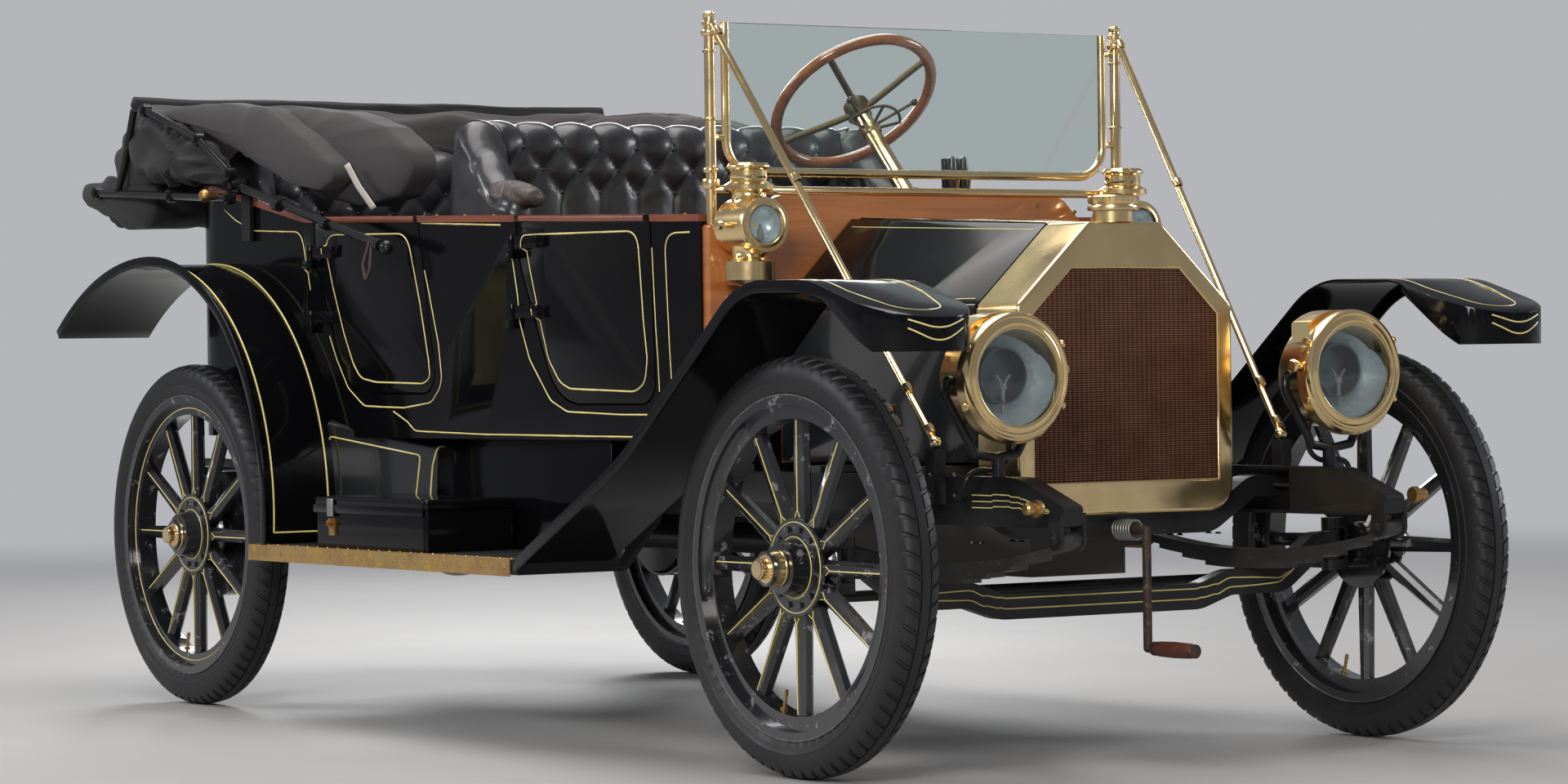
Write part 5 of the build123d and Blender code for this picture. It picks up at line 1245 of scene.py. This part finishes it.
class CAR_OT_boards(bpy.types.Operator):
    """Running boards with brass edging, rivets and ribbed mats, and the tool box's fittings"""
    bl_idname = "car.boards"
    bl_label = "Running boards"

    def execute(self, context):
        high_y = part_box("running_boards")[1].y
        for side, word in SIDES:
            outer = side * high_y
            bm = bmesh.new()
            extruded(bm, [(-0.628, outer + side * out, BOARD_TOP + up) for out, up in EDGING],
                     (1.179, 0, 0))
            piece_from(bm, "board_edging_" + word, "worn_edging")
            bm = bmesh.new()
            for step in range(25):
                x = -0.608 + step * 0.0475
                stud(bm, (x, outer + side * 0.002, BOARD_TOP - 0.017), side * Y, 0.0042, 0.0018,
                     top=0.0025)
                stud(bm, (x, outer - side * 0.015, BOARD_TOP + 0.002), Z, 0.0042, 0.0018,
                     top=0.0025)
            piece_from(bm, "board_rivets_" + word, "aged_brass")
            bm = bmesh.new()
            right_y, left_y = sorted((side * 0.590, side * 0.806))
            block(bm, (-0.615, right_y, BOARD_TOP), (0.535, left_y, BOARD_TOP + 0.0012))
            for rib in range(50):
                y = side * (0.5945 + rib * 0.0042)
                block(bm, (-0.612, y - 0.0011, BOARD_TOP + 0.0011),
                      (0.532, y + 0.0011, BOARD_TOP + 0.0024))
            piece_from(bm, "board_mat_" + word, "tyre", angle=20)
        self.tool_box()
        return {"FINISHED"}

    def tool_box(self):
        """Rounded box and lid, with a strap hasp, a lock and an end handle."""
        dress("tool_box", 0.006, 3)
        dress("tool_box_lid", 0.005, 3)
        low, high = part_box("tool_box_lid")
        end_x, face_y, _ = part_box("tool_box")[0]
        x = (low.x + high.x) / 2 - 0.165
        bm = bmesh.new()
        block(bm, (low.x + 0.004, low.y - 0.0035, low.z - 0.012),
              (high.x - 0.004, low.y + 0.002, low.z + 0.006))
        soften(bm, bm.edges[:], 0.0015)
        piece_from(bm, "tool_box_lid_flange", "body_paint", "tool_box_lid")
        bm = bmesh.new()
        block(bm, (x - 0.014, low.y - 0.007, low.z - 0.020),
              (x + 0.014, low.y - 0.003, high.z - 0.004))
        soften(bm, bm.edges[:], 0.002)
        piece_from(bm, "tool_box_hasp", "bare_steel", "tool_box_lid")
        bm = bmesh.new()
        block(bm, (x - 0.013, face_y - 0.005, low.z - 0.062),
              (x + 0.013, face_y + 0.001, low.z - 0.024))
        stud(bm, (x, face_y - 0.004, low.z - 0.034), -Y, 0.009, 0.008, 16)
        stud(bm, (x, face_y - 0.012, low.z - 0.034), -Y, 0.005, 0.005, 12)
        piece_from(bm, "tool_box_lock", "aged_brass")
        grip = [(end_x, -0.66, 0.462), (end_x - 0.010, -0.66, 0.452),
                (end_x - 0.010, -0.745, 0.452), (end_x, -0.745, 0.462)]
        line_piece("tool_box_handle", [rounded(grip, 0.008, step=0.004)], 0.003, "bare_steel")


PANEL_FOOT = 0.400
# Shares of the way up a splash panel at which its ledge begins and is turned over
LEDGE_START, LEDGE_END = 0.62, 0.72
LEDGE_RADIUS = 0.010


class CAR_OT_aprons(bpy.types.Operator):
    """Flared splash panels ahead of the rear fenders, their ledges and their lines"""
    bl_idname = "car.aprons"
    bl_label = "Splash panels"

    def execute(self, context):
        for side, word in SIDES:
            self.panel(side, word)
        return {"FINISHED"}

    def panel(self, side, word):
        def at(u, v):
            top_z = 0.668 - 0.058 * u
            foot_y = 0.664 - 0.084 * u
            ledge_y = 0.652 - 0.080 * u
            if v < LEDGE_START:
                share = v / LEDGE_START
                y = foot_y + (ledge_y - foot_y) * share
                z = PANEL_FOOT + (top_z - PANEL_FOOT) * share
            elif v < LEDGE_END:
                turn = (v - LEDGE_START) / (LEDGE_END - LEDGE_START) * pi / 2
                y = ledge_y - LEDGE_RADIUS * (1 - cos(turn))
                z = top_z + LEDGE_RADIUS * sin(turn)
            else:
                share = (v - LEDGE_END) / (1 - LEDGE_END)
                y = ledge_y - LEDGE_RADIUS - (ledge_y - LEDGE_RADIUS - 0.553) * share
                z = top_z + LEDGE_RADIUS + (0.060 - 0.055 * u) * share * (1 - u)
            return Vector((-0.618 + 0.398 * u, side * y, z))

        net("splash_panel_" + word, 40, 60, at, "hood_panel_paint", 40,
            thickness=0.0024)
        border = rounded([(0.09, 0.02, 0), (0.07, 0.57, 0), (0.86, 0.57, 0), (0.80, 0.02, 0)],
                         0.03, closed=True, step=0.02)
        bend = rounded([(0.93, 0.0, 0), (0.965, 0.52, 0), (1.0, 0.64, 0), (1.0, 0.99, 0)],
                       0.05, step=0.02)
        stripe("splash_panel_lines_" + word,
               [[at(p.x, p.y) + Y * side * 0.0022 for p in run] for run in (border, bend)],
               looks().stripe_width / 2)


# Hood and radiator

class CAR_OT_hood(bpy.types.Operator):
    """Hood panels with softened edges, mouldings, handles and lines"""
    bl_idname = "car.hood"
    bl_label = "Hood"

    def execute(self, context):
        for name in ("hood_rod", "hood_ledge", "dash_board"):
            dress(name, 0.0015)
        for side, word in SIDES:
            top, panel = "hood_top_" + word, "hood_side_" + word
            dress(top, 0.0012)
            dress(panel, 0.0010)
            tree = tree_of(top)
            moulding = self.along(tree, side, (0.884, 0.176), (1.396, 0.082), -0.0008)
            line_piece(top + "_moulding", [moulding], 0.0022, "body_paint", top)
            stripe(top + "_lines",
                   [self.along(tree, side, (0.889, 0.203), (1.392, 0.108), 0.0004),
                    self.along(tree, side, (0.889, 0.362), (1.392, 0.256), 0.0004)],
                   0.0011, top)
            self.handle(side, panel)
        return {"FINISHED"}

    def along(self, tree, side, rear, front, sink):
        """Straight run on the hood's top between two places (x, y)."""
        start, end = [Vector((x, side * y, 1.4)) for x, y in (rear, front)]
        return cast(tree, [start.lerp(end, k / 40) for k in range(41)], -Z, sink)

    def handle(self, side, panel):
        """Bent grip between two bosses."""
        spots = cast(tree_of(panel), [(x, side, 0.70) for x in (1.10, 1.18)], -side * Y)
        out = Y * side * 0.030
        grip = [spots[0], spots[0] + out, spots[1] + out, spots[1]]
        line_piece(panel + "_handle", [rounded(grip, 0.012, step=0.004)], 0.004, "aged_brass",
                   panel)
        bm = bmesh.new()
        for spot in spots:
            stud(bm, spot - out * 0.02, side * Y, 0.010, 0.004, 16)
        piece_from(bm, panel + "_bosses", "aged_brass", panel)


CORE_SHOULDER = 0.888
CORE_HALF = 0.234
CORE_OUTLINE = ((-CORE_HALF, 0.552), (CORE_HALF, 0.552), (CORE_HALF, CORE_SHOULDER),
                (0.1365, 0.980), (-0.1365, 0.980), (-CORE_HALF, CORE_SHOULDER))
FIN_PITCH, TUBE_PITCH = 0.0046, 0.0117


class CAR_OT_radiator(bpy.types.Operator):
    """Brass shell, fin and tube core and filler cap"""
    bl_idname = "car.radiator"
    bl_label = "Radiator"

    def execute(self, context):
        dress("radiator_shell", angle=30)
        low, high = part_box("radiator_core")
        face_x = high.x
        bm = bmesh.new()
        for k in range(1, int((high.z - low.z) / FIN_PITCH)):
            z = low.z + k * FIN_PITCH
            half = CORE_HALF - max(0.0, z - CORE_SHOULDER) / 0.093 * 0.0975 - 0.001
            block(bm, (face_x + 0.0008, -half, z - 0.0007), (face_x + 0.0062, half, z + 0.0007))
        piece_from(bm, "core_fins", "core_fin", angle=30)
        bm = bmesh.new()
        for k in range(-20, 21):
            y = k * TUBE_PITCH
            if abs(y) <= high.y - 0.004:
                top = high.z - max(0.0, abs(y) - 0.137) * 0.949 - 0.0015
                block(bm, (face_x - 0.001, y - 0.0030, low.z + 0.001),
                      (face_x + 0.0054, y + 0.0030, top))
        piece_from(bm, "core_tubes", "core_metal", angle=30)
        # Near-black sheet behind the fins and tubes: painted shade for the depth of the core
        bm = bmesh.new()
        extruded(bm, [(face_x + 0.0003, y, z) for y, z in CORE_OUTLINE], (-0.002, 0, 0))
        piece_from(bm, "core_painted_shade", "core_depth", angle=30)
        loop = CORE_OUTLINE + CORE_OUTLINE[:1]
        line_piece("core_bead", [[(face_x + 0.006, y, z) for y, z in loop]], 0.0042, "brass")
        self.filler()
        return {"FINISHED"}

    def filler(self):
        """Knurled cap over its neck."""
        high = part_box("radiator_shell")[1]
        spot = Vector((high.x - 0.040, 0, high.z - 0.022))
        bm = bmesh.new()
        turned(bm, [(0, 50.5), (4, 51.5), (8, 50.5), (8, 44), (12, 43), (12.5, 48), (17, 50),
                    (26.5, 50), (29, 47), (30, 20), (31.2, 0)], spot, Z)
        for k in range(24):
            turn = 2 * pi * k / 24
            rib = Vector((0.0495 * cos(turn), 0.0495 * sin(turn), 0.0165))
            stud(bm, spot + rib, Z, 0.0016, 0.0105, 6)
        piece_from(bm, "filler_cap", "brass", angle=34)


# Lamps

LAMP_RADIUS = 0.121
LAMP_Z = 0.769
SIDE_LAMP = (0.926, 0.484, 1.080)
LENS = [(3.5, 0), (3, 40), (1.2, 75), (-1.8, 95.2), (-5, 95.2), (-2.2, 75), (-0.4, 40), (0, 0)]
SIDE_LENS = [(3.2, 0), (2.4, 20), (0, 37.2), (-3, 37.2), (-0.6, 20), (0, 0)]
REFLECTOR = [(-90, 0), (-90, 30), (-82, 52), (-66, 72), (-44, 86), (-22, 93.5), (-12, 94.5),
             (-12, 95.5), (-46, 88), (-68, 74), (-92, 31), (-92, 0)]
REFLECTOR_RING = [(-86, 0), (-86, 50), (-80, 54.5), (-46, 54.5), (-46, 50.5), (-78, 50),
                  (-79, 0)]
BEZEL = [(0.2, 94.8), (3, 96), (4.2, 99), (3.6, 103.5), (1.2, 106.2), (0.4, 109), (3, 113),
         (2.4, 117.5), (-2, 120.5), (-10, 121.6), (-18, 121.2)]
SIDE_BEZEL = [(56, 37.5), (60, 38), (64, 41), (64, 45), (61.5, 49), (60, 53), (57, 56.5),
              (50, 57)]
SIDE_REFLECTOR = [(18, 0), (20, 12), (30, 26), (46, 35.5), (58, 37.8), (57, 38.5), (44, 36.5),
                  (16, 0)]


class CAR_OT_headlamps(bpy.types.Operator):
    """Headlamp lenses, reflectors, burners, vents, knobs and gas hoses"""
    bl_idname = "car.headlamps"
    bl_label = "Headlamps"

    def execute(self, context):
        dress("headlamps", angle=32)
        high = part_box("headlamps")[1]
        lamp_y = high.y - LAMP_RADIUS
        self.lenses("headlamp_lenses", LENS, (high.x - 0.004, lamp_y, LAMP_Z), 64)
        self.lenses("side_lamp_lenses", SIDE_LENS, (0.986, *SIDE_LAMP[1:]), 40)
        for side, word in SIDES:
            centre = Vector((high.x, side * lamp_y, LAMP_Z))
            lathed("lamp_reflector_" + word, "reflector", REFLECTOR, centre, X, 64, angle=60)
            lathed("lamp_ring_" + word, "reflector_dark", REFLECTOR_RING, centre, X, 64)
            bm = bmesh.new()
            stud(bm, centre + Vector((-0.050, 0, -0.072)), Z, 0.0042, 0.046, 16)
            stud(bm, centre + Vector((-0.050, 0, -0.026)), Z, 0.0080, 0.012, 16, top=0.0060)
            for lean in (-1, 1):
                stud(bm, centre + Vector((-0.050, lean * 0.004, -0.014)), (0, lean * 0.8, 1),
                     0.0028, 0.020, 12)
            piece_from(bm, "lamp_burner_" + word, "bulb")
            lathed("lamp_bezel_" + word, "brass", BEZEL, centre, X, 96, closed=True)
            self.vents(word, centre + Vector((-0.060, 0, 0.098)))
            self.fittings(side, word, centre)
        return {"FINISHED"}

    def lenses(self, name, profile, left, steps):
        """Glass of a pair of lamps, from the place of the left one."""
        bm = bmesh.new()
        for side, _ in SIDES:
            turned(bm, profile, (left[0], side * left[1], left[2]), X, steps)
        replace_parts(piece_from(bm, name, "lamp_glass"), "lamp_glass")

    def vents(self, word, top):
        """Three round holes with brass rings at the foot of the chimney; the holes are dark
        discs of painted shade.
        """
        lean = (1, 0, 0.10)
        rings, holes = bmesh.new(), bmesh.new()
        for y in (-0.027, 0.0, 0.027):
            turned(rings, [(-0.4, 6.2), (1.2, 7), (1.6, 8.8), (0.6, 10), (-0.4, 10.2)],
                   top + Vector((0.047, y, 0)), lean, 20, closed=True)
            # Flat dark disc in place of an open hole: painted shade
            stud(holes, top + Vector((0.0455, y, 0)), lean, 0.0066, 0.0014, 16)
        piece_from(rings, "lamp_vent_rings_" + word, "brass", angle=50)
        piece_from(holes, "lamp_vent_holes_" + word, "core_depth", angle=50)

    def fittings(self, side, word, centre):
        """Thumb screws, the regulator's knob and the gas hose of one lamp."""
        bm = bmesh.new()
        for out in (1, -1):
            for height in (0.062, -0.062):
                spot = centre + Vector((-0.014, out * 0.104, height * 0.9))
                lean = Vector((0, out, height * 4))
                stud(bm, spot, lean, 0.0056, 0.010, 12)
                stud(bm, spot + lean.normalized() * 0.010, lean, 0.0078, 0.004, 8)
        turned(bm, [(0, 0), (0, 8.5), (6, 6.5), (14, 6.5), (16, 12), (22, 13.5), (26, 10.5),
                    (28, 0)], centre + Vector((-0.030, -side * 0.112, 0.010)), -side * Y, 24)
        piece_from(bm, "lamp_fittings_" + word, "brass")
        hose = [centre + Vector((x, side * y, z)) for x, y, z in (
            (-0.090, -0.040, -0.096), (-0.095, -0.052, -0.150), (-0.088, -0.020, -0.186),
            (-0.085, 0.045, -0.176), (-0.092, 0.070, -0.214), (-0.140, 0.030, -0.240),
            (-0.230, -0.020, -0.232))]
        line_piece("lamp_pipe_" + word, [hose], 0.0055, "chassis_paint",
                   smooth=True, resolution=3)


class CAR_OT_side_lamps(bpy.types.Operator):
    """Side lamps with beaded bezels, ribbed chimneys, reflectors and wicks"""
    bl_idname = "car.side_lamps"
    bl_label = "Side lamps"

    def execute(self, context):
        dress("side_lamps", angle=32)
        for side, word in SIDES:
            centre = Vector((SIDE_LAMP[0], side * SIDE_LAMP[1], SIDE_LAMP[2]))
            bm = bmesh.new()
            turned(bm, SIDE_BEZEL, centre, X, closed=True)
            for height, radius in ((0.0985, 36), (0.1065, 30), (-0.062, 30), (-0.098, 36)):
                turned(bm, bead(radius, (3.5, 3.5), 8), centre + Z * height, Z, 40, closed=True)
            for k in range(10):
                turn = 2 * pi * k / 10
                rib = Vector((0.0300 * cos(turn), 0.0300 * sin(turn), 0.112))
                stud(bm, centre + rib, Z, 0.0030, 0.010)
            turned(bm, [(0, 0), (0, 6), (4, 6), (6, 4), (10, 8.5), (16, 10), (21, 7.5),
                        (23, 0)], centre + Y * side * 0.055, side * Y, 24)
            piece_from(bm, "side_lamp_trim_" + word, "brass")
            lathed("side_lamp_reflector_" + word, "reflector", SIDE_REFLECTOR, centre, X, 40,
                   angle=60)
            bm = bmesh.new()
            stud(bm, centre + Vector((0.040, 0, -0.030)), Z, 0.0075, 0.022, 12, top=0.006)
            stud(bm, centre + Vector((0.040, 0, -0.008)), Z, 0.0035, 0.010)
            piece_from(bm, "side_lamp_burner_" + word, "bulb")
        return {"FINISHED"}


# Windshield, steering and levers

class CAR_OT_windshield(bpy.types.Operator):
    """Windshield frame trim, glass, stay ferrules and finials"""
    bl_idname = "car.windshield"
    bl_label = "Windshield"

    def execute(self, context):
        dress("windshield_frame", angle=30)
        bm = bmesh.new()
        for side, _ in SIDES:
            foot = Vector((0.850, side * 0.526, 0))
            for height, radius, tall in ((1.168, 19, 20), (1.196, 16.5, 10), (1.300, 14.5, 6),
                                         (1.440, 14.5, 6), (1.478, 16.5, 14)):
                turned(bm, [(-tall / 2, 11.2), (-tall / 2, radius * 0.92),
                            (-tall * 0.3, radius), (tall * 0.3, radius),
                            (tall / 2, radius * 0.92), (tall / 2, 11.2)],
                       foot + Z * height, Z, 32, closed=True)
            turned(bm, [(0, 0), (0, 11.2), (2, 15), (8, 15), (10, 10), (14, 9), (18.5, 12.5),
                        (24.5, 12.5), (29, 8), (30, 0)], foot + Z * 1.492, Z, 32)
            top = Vector((0.862, side * 0.524, 1.496))
            stay = Vector((1.497, side * 0.437, 0.650)) - top
            run = stay.normalized()
            for gap in (0.012, 0.400, 0.930, 1.040):
                turned(bm, [(0, 7), (1, 9.2), (10, 10), (19, 9.2), (20, 7)],
                       top + run * min(gap, stay.length - 0.03), run, 24, closed=True)
        piece_from(bm, "windshield_trim", "brass")
        bm = bmesh.new()
        block(bm, (0.8475, -0.478, 1.2015), (0.8525, 0.478, 1.4995))
        soften(bm, bm.edges[:], 0.0009, segments=1)
        pane = piece_from(bm, "windshield_pane", "glass", angle=30)
        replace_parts(pane, "windshield_glass")
        return {"FINISHED"}


WHEEL_CENTRE = Vector((0.175, 0.300, 1.389))
WHEEL_LEAN = radians(46.4)
WHEEL_AXIS = Vector((-cos(WHEEL_LEAN), 0, sin(WHEEL_LEAN)))


def outward(degrees):
    """Direction away from the steering wheel's axis."""
    return Y * cos(radians(degrees)) + WHEEL_AXIS.cross(Y) * sin(radians(degrees))


class CAR_OT_steering(bpy.types.Operator):
    """Wooden wheel rim, dark arms, boss and quadrant, and the column's collar"""
    bl_idname = "car.steering"
    bl_label = "Steering wheel"

    def execute(self, context):
        body = "steering_wheel"
        rim = lathed("wheel_rim_wood", "rim_wood", bead(192, (11.8, 13.2), 16), WHEEL_CENTRE,
                     WHEEL_AXIS, 96, body, 60, closed=True)
        bm = bmesh.new()
        for k in range(8):
            spot = WHEEL_CENTRE + outward(22.5 + 45 * k) * 0.192
            stud(bm, spot - WHEEL_AXIS * 0.0126, -WHEEL_AXIS, 0.0034, 0.0012, 12)
        piece_from(bm, "wheel_rim_screws", "aged_brass", body)
        steps = ((0.030, 0.018), (0.020, 0.080), (0.004, 0.150), (0.0, 0.184))
        arms = [[WHEEL_CENTRE - WHEEL_AXIS * drop + outward(45 + 90 * k) * reach
                 for drop, reach in steps] for k in range(4)]
        spokes = line_piece("wheel_arms", arms, 0.0078, "dark_brass", body, smooth=True,
                            resolution=3)
        boss = lathed("wheel_boss", "dark_brass", [
            (-60, 0), (-60, 17), (-52, 23), (-30, 25), (-18, 30), (-8, 29), (0, 20), (6, 17),
            (12, 12), (14, 0)], WHEEL_CENTRE, WHEEL_AXIS, 40, body)
        for piece in (rim, spokes, boss):
            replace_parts(piece, "steering_wheel")
        self.quadrant(WHEEL_CENTRE - WHEEL_AXIS * 0.092)
        dress("steering_column", angle=34)
        return {"FINISHED"}

    def quadrant(self, foot):
        """Arc with the spark and gas levers under the wheel, fixed to the column."""
        arc = [foot + outward(200 + 5 * k) * 0.074 for k in range(29)]
        line_piece("quadrant", [arc, [foot, arc[0]], [foot, arc[-1]], [foot, arc[14]]], 0.0034,
                   "dark_brass")
        levers = [[foot + WHEEL_AXIS * rise + outward(degrees) * out
                   for rise, out in ((0.006, 0.0), (0.008, 0.060), (0.010, reach))]
                  for degrees, reach in ((222, 0.120), (318, 0.118))]
        line_piece("quadrant_levers", levers, 0.0036, "dark_brass", smooth=True)
        bm = bmesh.new()
        for run in levers:
            ball(bm, run[-1], 0.0085, 16, 10)
        piece_from(bm, "quadrant_knobs", "dark_knob", angle=60)
        lathed("quadrant_collar", "brass", [
            (-16, 0), (-16, 22), (-10, 24.5), (10, 24.5), (14, 20), (14, 0)], foot,
            WHEEL_AXIS, 32)


class CAR_OT_levers(bpy.types.Operator):
    """Grips and latches on the hand levers"""
    bl_idname = "car.levers"
    bl_label = "Levers"

    def execute(self, context):
        dress("control_levers", angle=34)
        grips, latches = bmesh.new(), bmesh.new()
        for y in (0.464, 0.496):
            turned(grips, [(-110, 8.5), (-104, 11), (-60, 12), (-20, 10.5), (-6, 8.8), (0, 0)],
                   (0.326, y, 1.262), Z, 20)
            stud(latches, (0.338, y, 1.140), (0.2, 0, 1), 0.0034, 0.085, 10)
            block(latches, (0.322, y - 0.004, 1.128), (0.344, y + 0.004, 1.142))
        piece_from(grips, "lever_grips", "dark_knob")
        piece_from(latches, "lever_latches", "aged_brass")
        return {"FINISHED"}


# Chassis

def middle_lines(tree, stations, toward, keep, foot, count, levels):
    """Lines that follow a part's middle height. A station is a place to look from and how much
    of each level's distance is left there."""
    runs = []
    for level in levels:
        run = []
        for place_from, spread in stations:
            column = [place_from + Z * (foot + 0.005 * step) for step in range(count)]
            heights = [hit.z for hit in cast(tree, column, toward) if keep(hit)]
            if heights:
                middle = (max(heights) + min(heights)) / 2
                run += cast(tree, [place_from + Z * (middle + level * spread)], toward, 0.0006)
        runs.append(run)
    return runs


class CAR_OT_chassis(bpy.types.Operator):
    """Axle and spring horn lines, rivets, grease cups and the crank's spring and grip"""
    bl_idname = "car.chassis"
    bl_label = "Chassis"

    def execute(self, context):
        for name in ("front_axle", "frame_rails", "leaf_springs", "rear_axle", "lamp_brackets",
                     "tie_rod", "knuckle_left", "knuckle_right", "crank"):
            dress(name, 0.0008, 1, 34)
        stations = [(Vector((1.9, y, 0)), 1 - (abs(y) / 0.50) ** 6)
                    for y in [k / 89 - 0.50 for k in range(90)]]
        stripe("axle_lines", middle_lines(
            tree_of("front_axle"), stations, -X, lambda hit: hit.x > 1.44, 0.30, 29,
            (0.0105, -0.0105)), 0.0016)
        for side, word in SIDES:
            self.horn(tree_of("frame_rails"), side, word)
        self.crank()
        return {"FINISHED"}

    def horn(self, tree, side, word):
        """Triple lines, rivets and a grease cup on the outside of one frame rail."""
        stations = [(Vector((1.60 + 0.245 * k / 39, side, 0)), 1 - (k / 39) ** 3 * 0.8)
                    for k in range(40)]
        stripe("horn_lines_" + word, middle_lines(
            tree, stations, -side * Y, lambda hit: abs(hit.y) > 0.40, 0.42, 45,
            (-0.012, 0.0, 0.012)), 0.0013)
        bm = bmesh.new()
        spots = cast(tree, [(x, side, z) for x in (1.36, 1.40, 1.50, 1.54, 1.30, -1.20, -1.16,
                                                   -0.60, -0.10, 0.50)
                            for z in (0.535, 0.575)], -side * Y)
        for spot in spots:
            stud(bm, spot - Y * side * 0.001, side * Y, 0.0075, 0.0045, 10, top=0.004)
        for x in (1.43, 1.46):
            for y in (0.10, 0.20, 0.30):
                stud(bm, (x, side * y, 0.4380), Z, 0.0075, 0.004, 10, top=0.004)
        piece_from(bm, "frame_rivets_" + word, "chassis_paint")
        lathed("grease_cups_" + word, "aged_brass", [
            (0, 0), (0, 15), (4, 16.5), (12, 16.5), (14, 11), (22, 12.5), (32, 12.5), (36, 9),
            (37, 0)], (1.868, side * 0.462, 0.520), side * Y, 24)

    def crank(self):
        """Coil spring behind the arm and a turned wooden grip."""
        turns, steps, radius = 7, 20, 0.0190
        coil = [Vector((1.515 + 0.060 * k / (turns * steps), radius * cos(2 * pi * k / steps),
                        0.458 + radius * sin(2 * pi * k / steps)))
                for k in range(turns * steps + 1)]
        line_piece("crank_spring", [coil], 0.0026, "bare_steel", "crank")
        lathed("crank_grip", "crank_wood", [
            (-4, 0), (-4, 13.5), (4, 15), (50, 16.2), (100, 15), (112, 13), (112.5, 0)],
            (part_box("crank")[1].x - 0.1155, 0, 0.225), X, 28, "crank", 50)


# Body and dashboard

def rail_top(x):
    """Height of the body's sloping rail."""
    return 1.1058 - (x - 0.832) * 0.0302


class CAR_OT_body(bpy.types.Operator):
    """Body panels with softened edges, rail studs, door caps, latches and dash fittings"""
    bl_idname = "car.body"
    bl_label = "Body"

    def execute(self, context):
        dress("body_tub", angle=32)
        dress("body_rail", angle=32)
        for end, side, word in CORNERS:
            dress("door_%s_%s" % (end, word), 0.0015, 2, 34)
            dress("wheel_%s_%s" % (end, word), angle=34)
            self.door_cap("door_%s_%s" % (end, word), side)
        for side, word in SIDES:
            self.rail_studs(side, word)
            self.latch("door_front_" + word, side, 0.610)
            self.latch("door_rear_" + word, side, -0.215)
        self.dash()
        return {"FINISHED"}

    def rail_studs(self, side, word):
        """Brass screws along the wooden rail."""
        tree = tree_of("body_rail")
        places = [(x, side * 2.0, rail_top(x) - 0.004)
                  for x in [-0.60 + 0.115 * k for k in range(13)]]
        above = [spot + Vector((0, -side * 0.009, 0.5))
                 for spot in cast(tree, places, -side * Y)]
        bm = bmesh.new()
        for spot in cast(tree, above, -Z):
            stud(bm, spot - Z * 0.001, Z, 0.0046, 0.0032, 12, top=0.0032)
        piece_from(bm, "rail_studs_" + word, "aged_brass")

    def door_cap(self, name, side):
        """Wooden half-round along the top of a door, in line with the rail."""
        low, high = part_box(name)
        places = [(x, side * 2.0, rail_top(x) - 0.030) for x in
                  [low.x + 0.006 + (high.x - low.x - 0.012) * k / 24 for k in range(25)]]
        spots = [spot + Vector((0, -side * 0.001, 0.0225))
                 for spot in cast(tree_of(name), places, -side * Y)]
        line_piece(name + "_cap", [spots], 0.0085, "cap_wood", name, resolution=3)

    def latch(self, name, side, x):
        """Boss and pull inside a door."""
        inner = cast(tree_of(name), [(x, side * 2.0, 1.055)], -side * Y)[0]
        inner -= Y * side * 0.034
        bm = bmesh.new()
        stud(bm, inner, -side * Y, 0.013, 0.006, 20)
        stud(bm, inner - Y * side * 0.006, -side * Y, 0.006, 0.016, 12)
        piece_from(bm, name + "_latch", "aged_brass", name)
        grip = inner - Y * side * 0.020
        pull = [grip, grip + Vector((-0.030, 0, -0.004)),
                grip + Vector((-0.062, -side * 0.004, -0.010))]
        line_piece(name + "_pull", [pull], 0.0052, "aged_brass", name, smooth=True)

    def dash(self):
        """Screws and foot plates on the wooden dashboard, and the side lamps' arms."""
        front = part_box("dash_board")[1].x
        screws, plates = bmesh.new(), bmesh.new()
        for side, word in SIDES:
            for y, z in ((0.520, 1.060), (0.520, 0.900), (0.520, 0.720), (0.400, 1.115),
                         (0.455, 0.640)):
                stud(screws, (front - 0.0005, side * y, z), X, 0.0052, 0.0022, 16, top=0.004)
            stud(screws, (front - 0.0005, side * 0.30, 1.130), X, 0.0052, 0.0022, 16)
            right_y, left_y = sorted((side * 0.371, side * 0.5405))
            block(plates, (front + 0.0004, right_y, 0.591), (front + 0.0016, left_y, 0.860))
            block(plates, (front - 0.030, side * 0.5408 - 0.0006, 0.591),
                  (front + 0.0016, side * 0.5408 + 0.0006, 0.860))
            arm = [(x, side * 0.484, z) for x, z in
                   ((0.868, 0.985), (0.892, 0.972), (0.905, 0.950), (0.868, 0.905))]
            line_piece("side_lamp_arm_" + word, [arm], 0.0065, "brass", smooth=True,
                       resolution=3)
        piece_from(screws, "dash_screws", "aged_brass")
        piece_from(plates, "dash_foot_plates", "body_paint")


# Panel and running

STEPS = (
    CAR_OT_finishes, CAR_OT_tyres, CAR_OT_wheels, CAR_OT_body_lines, CAR_OT_seats,
    CAR_OT_folded_top, CAR_OT_fenders, CAR_OT_boards, CAR_OT_aprons, CAR_OT_hood,
    CAR_OT_radiator, CAR_OT_headlamps, CAR_OT_side_lamps, CAR_OT_windshield, CAR_OT_steering,
    CAR_OT_levers, CAR_OT_chassis, CAR_OT_body, CAR_OT_stage)


class CAR_PT_panel(bpy.types.Panel):
    """The car's pieces in the 3D view's sidebar"""
    bl_idname = "CAR_PT_panel"
    bl_label = "Brass Era Car"
    bl_space_type = "VIEW_3D"
    bl_region_type = "UI"
    bl_category = "Car"

    def draw(self, context):
        column = self.layout.column()
        for name in CarLooks.__annotations__:
            column.prop(context.scene.car_looks, name)
        for step in STEPS:
            column.operator(step.bl_idname)


def register():
    for kind in (CarLooks, *STEPS, CAR_PT_panel):
        bpy.utils.register_class(kind)
    bpy.types.Scene.car_looks = bpy.props.PointerProperty(type=CarLooks)


def unregister():
    del bpy.types.Scene.car_looks
    for kind in reversed((CarLooks, *STEPS, CAR_PT_panel)):
        bpy.utils.unregister_class(kind)


def main():
    """Register the add-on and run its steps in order."""
    register()
    for step in STEPS:
        area, action = step.bl_idname.split(".")
        getattr(getattr(bpy.ops, area), action)()


if __name__ == "__main__":
    main()
